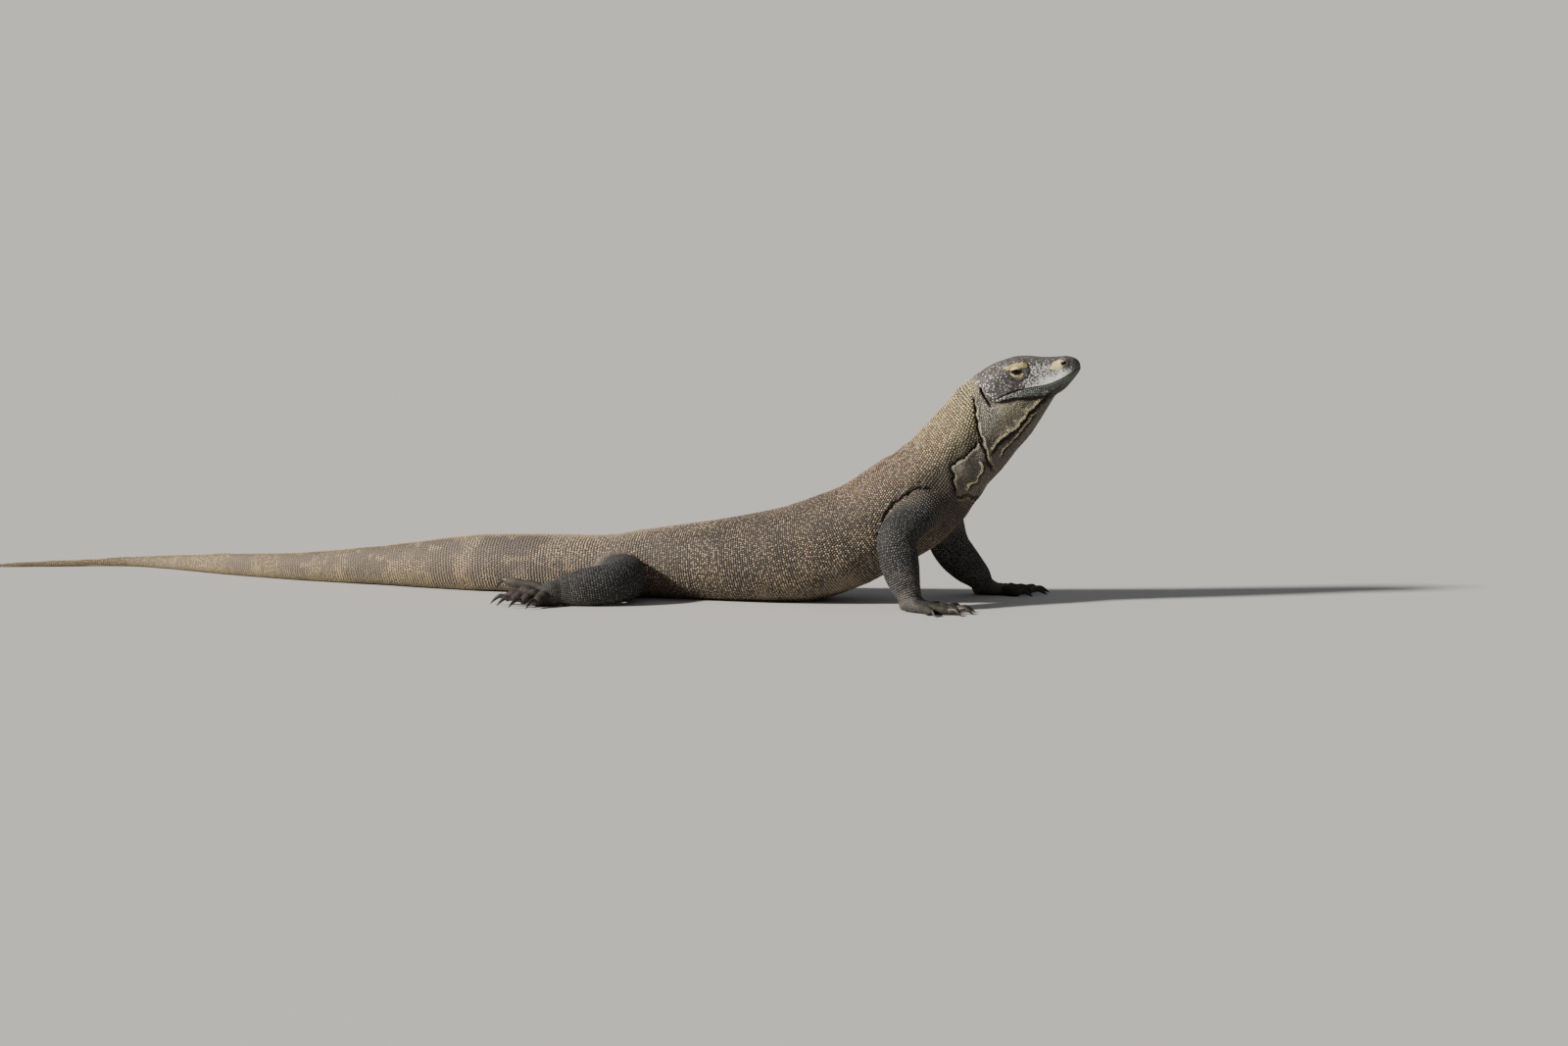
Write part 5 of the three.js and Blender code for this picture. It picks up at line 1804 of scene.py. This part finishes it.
class DragonCoat(bpy.types.PropertyGroup):
    width: share_of("Width", "Width of the body's scales, times their usual width", 1.0)
    gap: share_of("Gap", "Bare skin round a body scale as a share of the pitch", 0.075)
    height: share_of("Height", "Height of a body scale as a share of the pitch", 0.2)
    face_tries: IntProperty(name="Face tries", description="Points tried on the face", default=290000)
    fill_tries: IntProperty(name="Fill tries", description="Points tried on bare skin", default=120000)


class DragonPalette(bpy.types.PropertyGroup):
    tail_gap: gap_of("tail", (0.13, 0.10, 0.06))
    hip_gap: gap_of("hips", (0.045, 0.034, 0.025))
    trunk_gap: gap_of("trunk", (0.011, 0.009, 0.007))
    neck_gap: gap_of("neck", (0.022, 0.017, 0.011))
    throat_gap: gap_of("throat", (0.033, 0.030, 0.026))
    leg_gap: gap_of("legs", (0.006, 0.0055, 0.0055))
    head_gap: gap_of("head", (0.030, 0.026, 0.023))
    tail_tip: scales_of("tail's last third", (0.25, 0.19, 0.10))
    tail: scales_of("tail", (0.31, 0.235, 0.155))
    hips: scales_of("hips", (0.40, 0.305, 0.23))
    trunk: scales_of("trunk", (0.11, 0.086, 0.067))
    shoulder: scales_of("shoulders", (0.155, 0.124, 0.09))
    neck: scales_of("neck", (0.44, 0.36, 0.185))
    throat: scales_of("throat", (0.19, 0.178, 0.158))
    # The legs' and toes' own slate and brown, darkened further as painted shade.
    leg: scales_of("legs", (0.016, 0.0155, 0.016))
    toe: scales_of("toes", (0.027, 0.020, 0.012))
    head: scales_of("head", (0.096, 0.082, 0.074))
    tail_pale: pale_of("tail", (0.56, 0.45, 0.25))
    hip_pale: pale_of("hips and the tail's root", (0.80, 0.62, 0.44))
    trunk_pale: pale_of("trunk", (0.56, 0.43, 0.28))
    neck_pale: pale_of("neck", (0.68, 0.58, 0.29))
    throat_pale: pale_of("throat", (0.64, 0.59, 0.43))
    leg_pale: pale_of("legs", (0.165, 0.162, 0.157))
    head_light: pale_of("head", (0.20, 0.188, 0.175))
    tail_grey: colour_of("Tail's grey", "Cloudy grey patches of the tail", (0.195, 0.155, 0.135))
    olive: colour_of("Olive", "Underside of the tail", (0.33, 0.285, 0.15))
    shed: colour_of("Shed patches", "Places on the tail where old scales have come off", (0.62, 0.43, 0.26))
    rust: colour_of("Rust", "Rusty scales of the shoulders and flanks", (0.40, 0.195, 0.095))
    # Painted shade under the trunk, on the chest and under the throat.
    belly: colour_of("Belly", "Tint under the body", (0.07, 0.056, 0.04))
    dust: colour_of("Dust", "Dry dust on the flanks", (0.36, 0.30, 0.22))
    # Painted highlight on the crests of the folds of the throat and neck.
    throat_ridge_highlight: colour_of("Throat's ridges", "Edges of the folds of the throat", (0.80, 0.71, 0.42))
    lattice: colour_of("Lattice", "Fine pale scales of the throat below the jaw", (0.72, 0.63, 0.40))
    speck: colour_of("Specks", "White specks on the snout and temple", (1.0, 1.0, 0.94))
    snout: colour_of("Snout", "Front of the snout", (0.055, 0.068, 0.072))
    lip: colour_of("Lips", "Edges of the lips", (0.16, 0.195, 0.18))
    orange: colour_of("Orange", "Tint before the nostril and at the chin", (0.50, 0.24, 0.10))
    cream: colour_of("Cream", "Patches over the eye and behind the nostril", (1.0, 0.82, 0.38))
    # Painted shade in grooves, mouth, nostrils, ears and under the jaw, and the dark rim of the lids.
    groove: colour_of("Grooves", "Bottoms of folds, mouth, nostrils and ears", (0.012, 0.010, 0.008))


class DragonStage(bpy.types.PropertyGroup):
    azimuth: angle_of("Azimuth", "Turn of the camera round the animal", 14)
    elevation: angle_of("Elevation", "Height of the camera as an angle", 6.5)
    distance: length("Distance", "Camera to target", 26.0)
    lens: FloatProperty(name="Lens", description="Focal length in millimetres", default=300.0,
                        subtype="DISTANCE_CAMERA")
    target: FloatVectorProperty(name="Target", description="Point in the middle of the picture",
                                default=(0.0378, 0.0094, 0.151), subtype="TRANSLATION")
    floor_reach: length("Floor", "Radius of the floor", 60.0)
    key_azimuth: angle_of("Key azimuth", "Turn of the key light round the animal", -55)
    key_elevation: angle_of("Key elevation", "Height of the key light as an angle", 31)
    key_size: angle_of("Key size", "Width of the key light as an angle, which softens its shadows", 6)
    key_power: FloatProperty(name="Key power", description="Strength of the key light", default=7.0)
    sky: FloatProperty(name="Sky", description="Strength of the surrounding light", default=0.26)


class DRAGON_PT_panel(bpy.types.Panel):
    """The steps and their settings"""

    bl_label = "Komodo dragon"
    bl_idname = "DRAGON_PT_panel"
    bl_space_type = "VIEW_3D"
    bl_region_type = "UI"
    bl_category = "Dragon"

    def draw(self, context):
        for operator, group in STEPS:
            self.layout.operator(operator.bl_idname)
            if group:
                settings = getattr(context.scene, group)
                for name in settings.__annotations__:
                    self.layout.prop(settings, name)


GROUPS = {"dragon_skin": DragonSkin, "dragon_coat": DragonCoat, "dragon_palette": DragonPalette,
          "dragon_stage": DragonStage}
STEPS = ((DRAGON_OT_skin, "dragon_skin"), (DRAGON_OT_coat, "dragon_coat"), (DRAGON_OT_eyes, None),
         (DRAGON_OT_claws, None), (DRAGON_OT_stage, "dragon_stage"))


def register():
    for group in GROUPS.values():
        bpy.utils.register_class(group)
    for operator, _ in STEPS:
        bpy.utils.register_class(operator)
    bpy.utils.register_class(DRAGON_PT_panel)
    for name, group in GROUPS.items():
        setattr(bpy.types.Scene, name, PointerProperty(type=group))


def unregister():
    for name in GROUPS:
        delattr(bpy.types.Scene, name)
    bpy.utils.unregister_class(DRAGON_PT_panel)
    for operator, _ in reversed(STEPS):
        bpy.utils.unregister_class(operator)
    for group in reversed(GROUPS.values()):
        bpy.utils.unregister_class(group)


def main():
    register()
    bpy.ops.dragon.skin()
    bpy.ops.dragon.coat()
    bpy.ops.dragon.eyes()
    bpy.ops.dragon.claws()
    bpy.ops.dragon.stage()


if __name__ == "__main__":
    main()
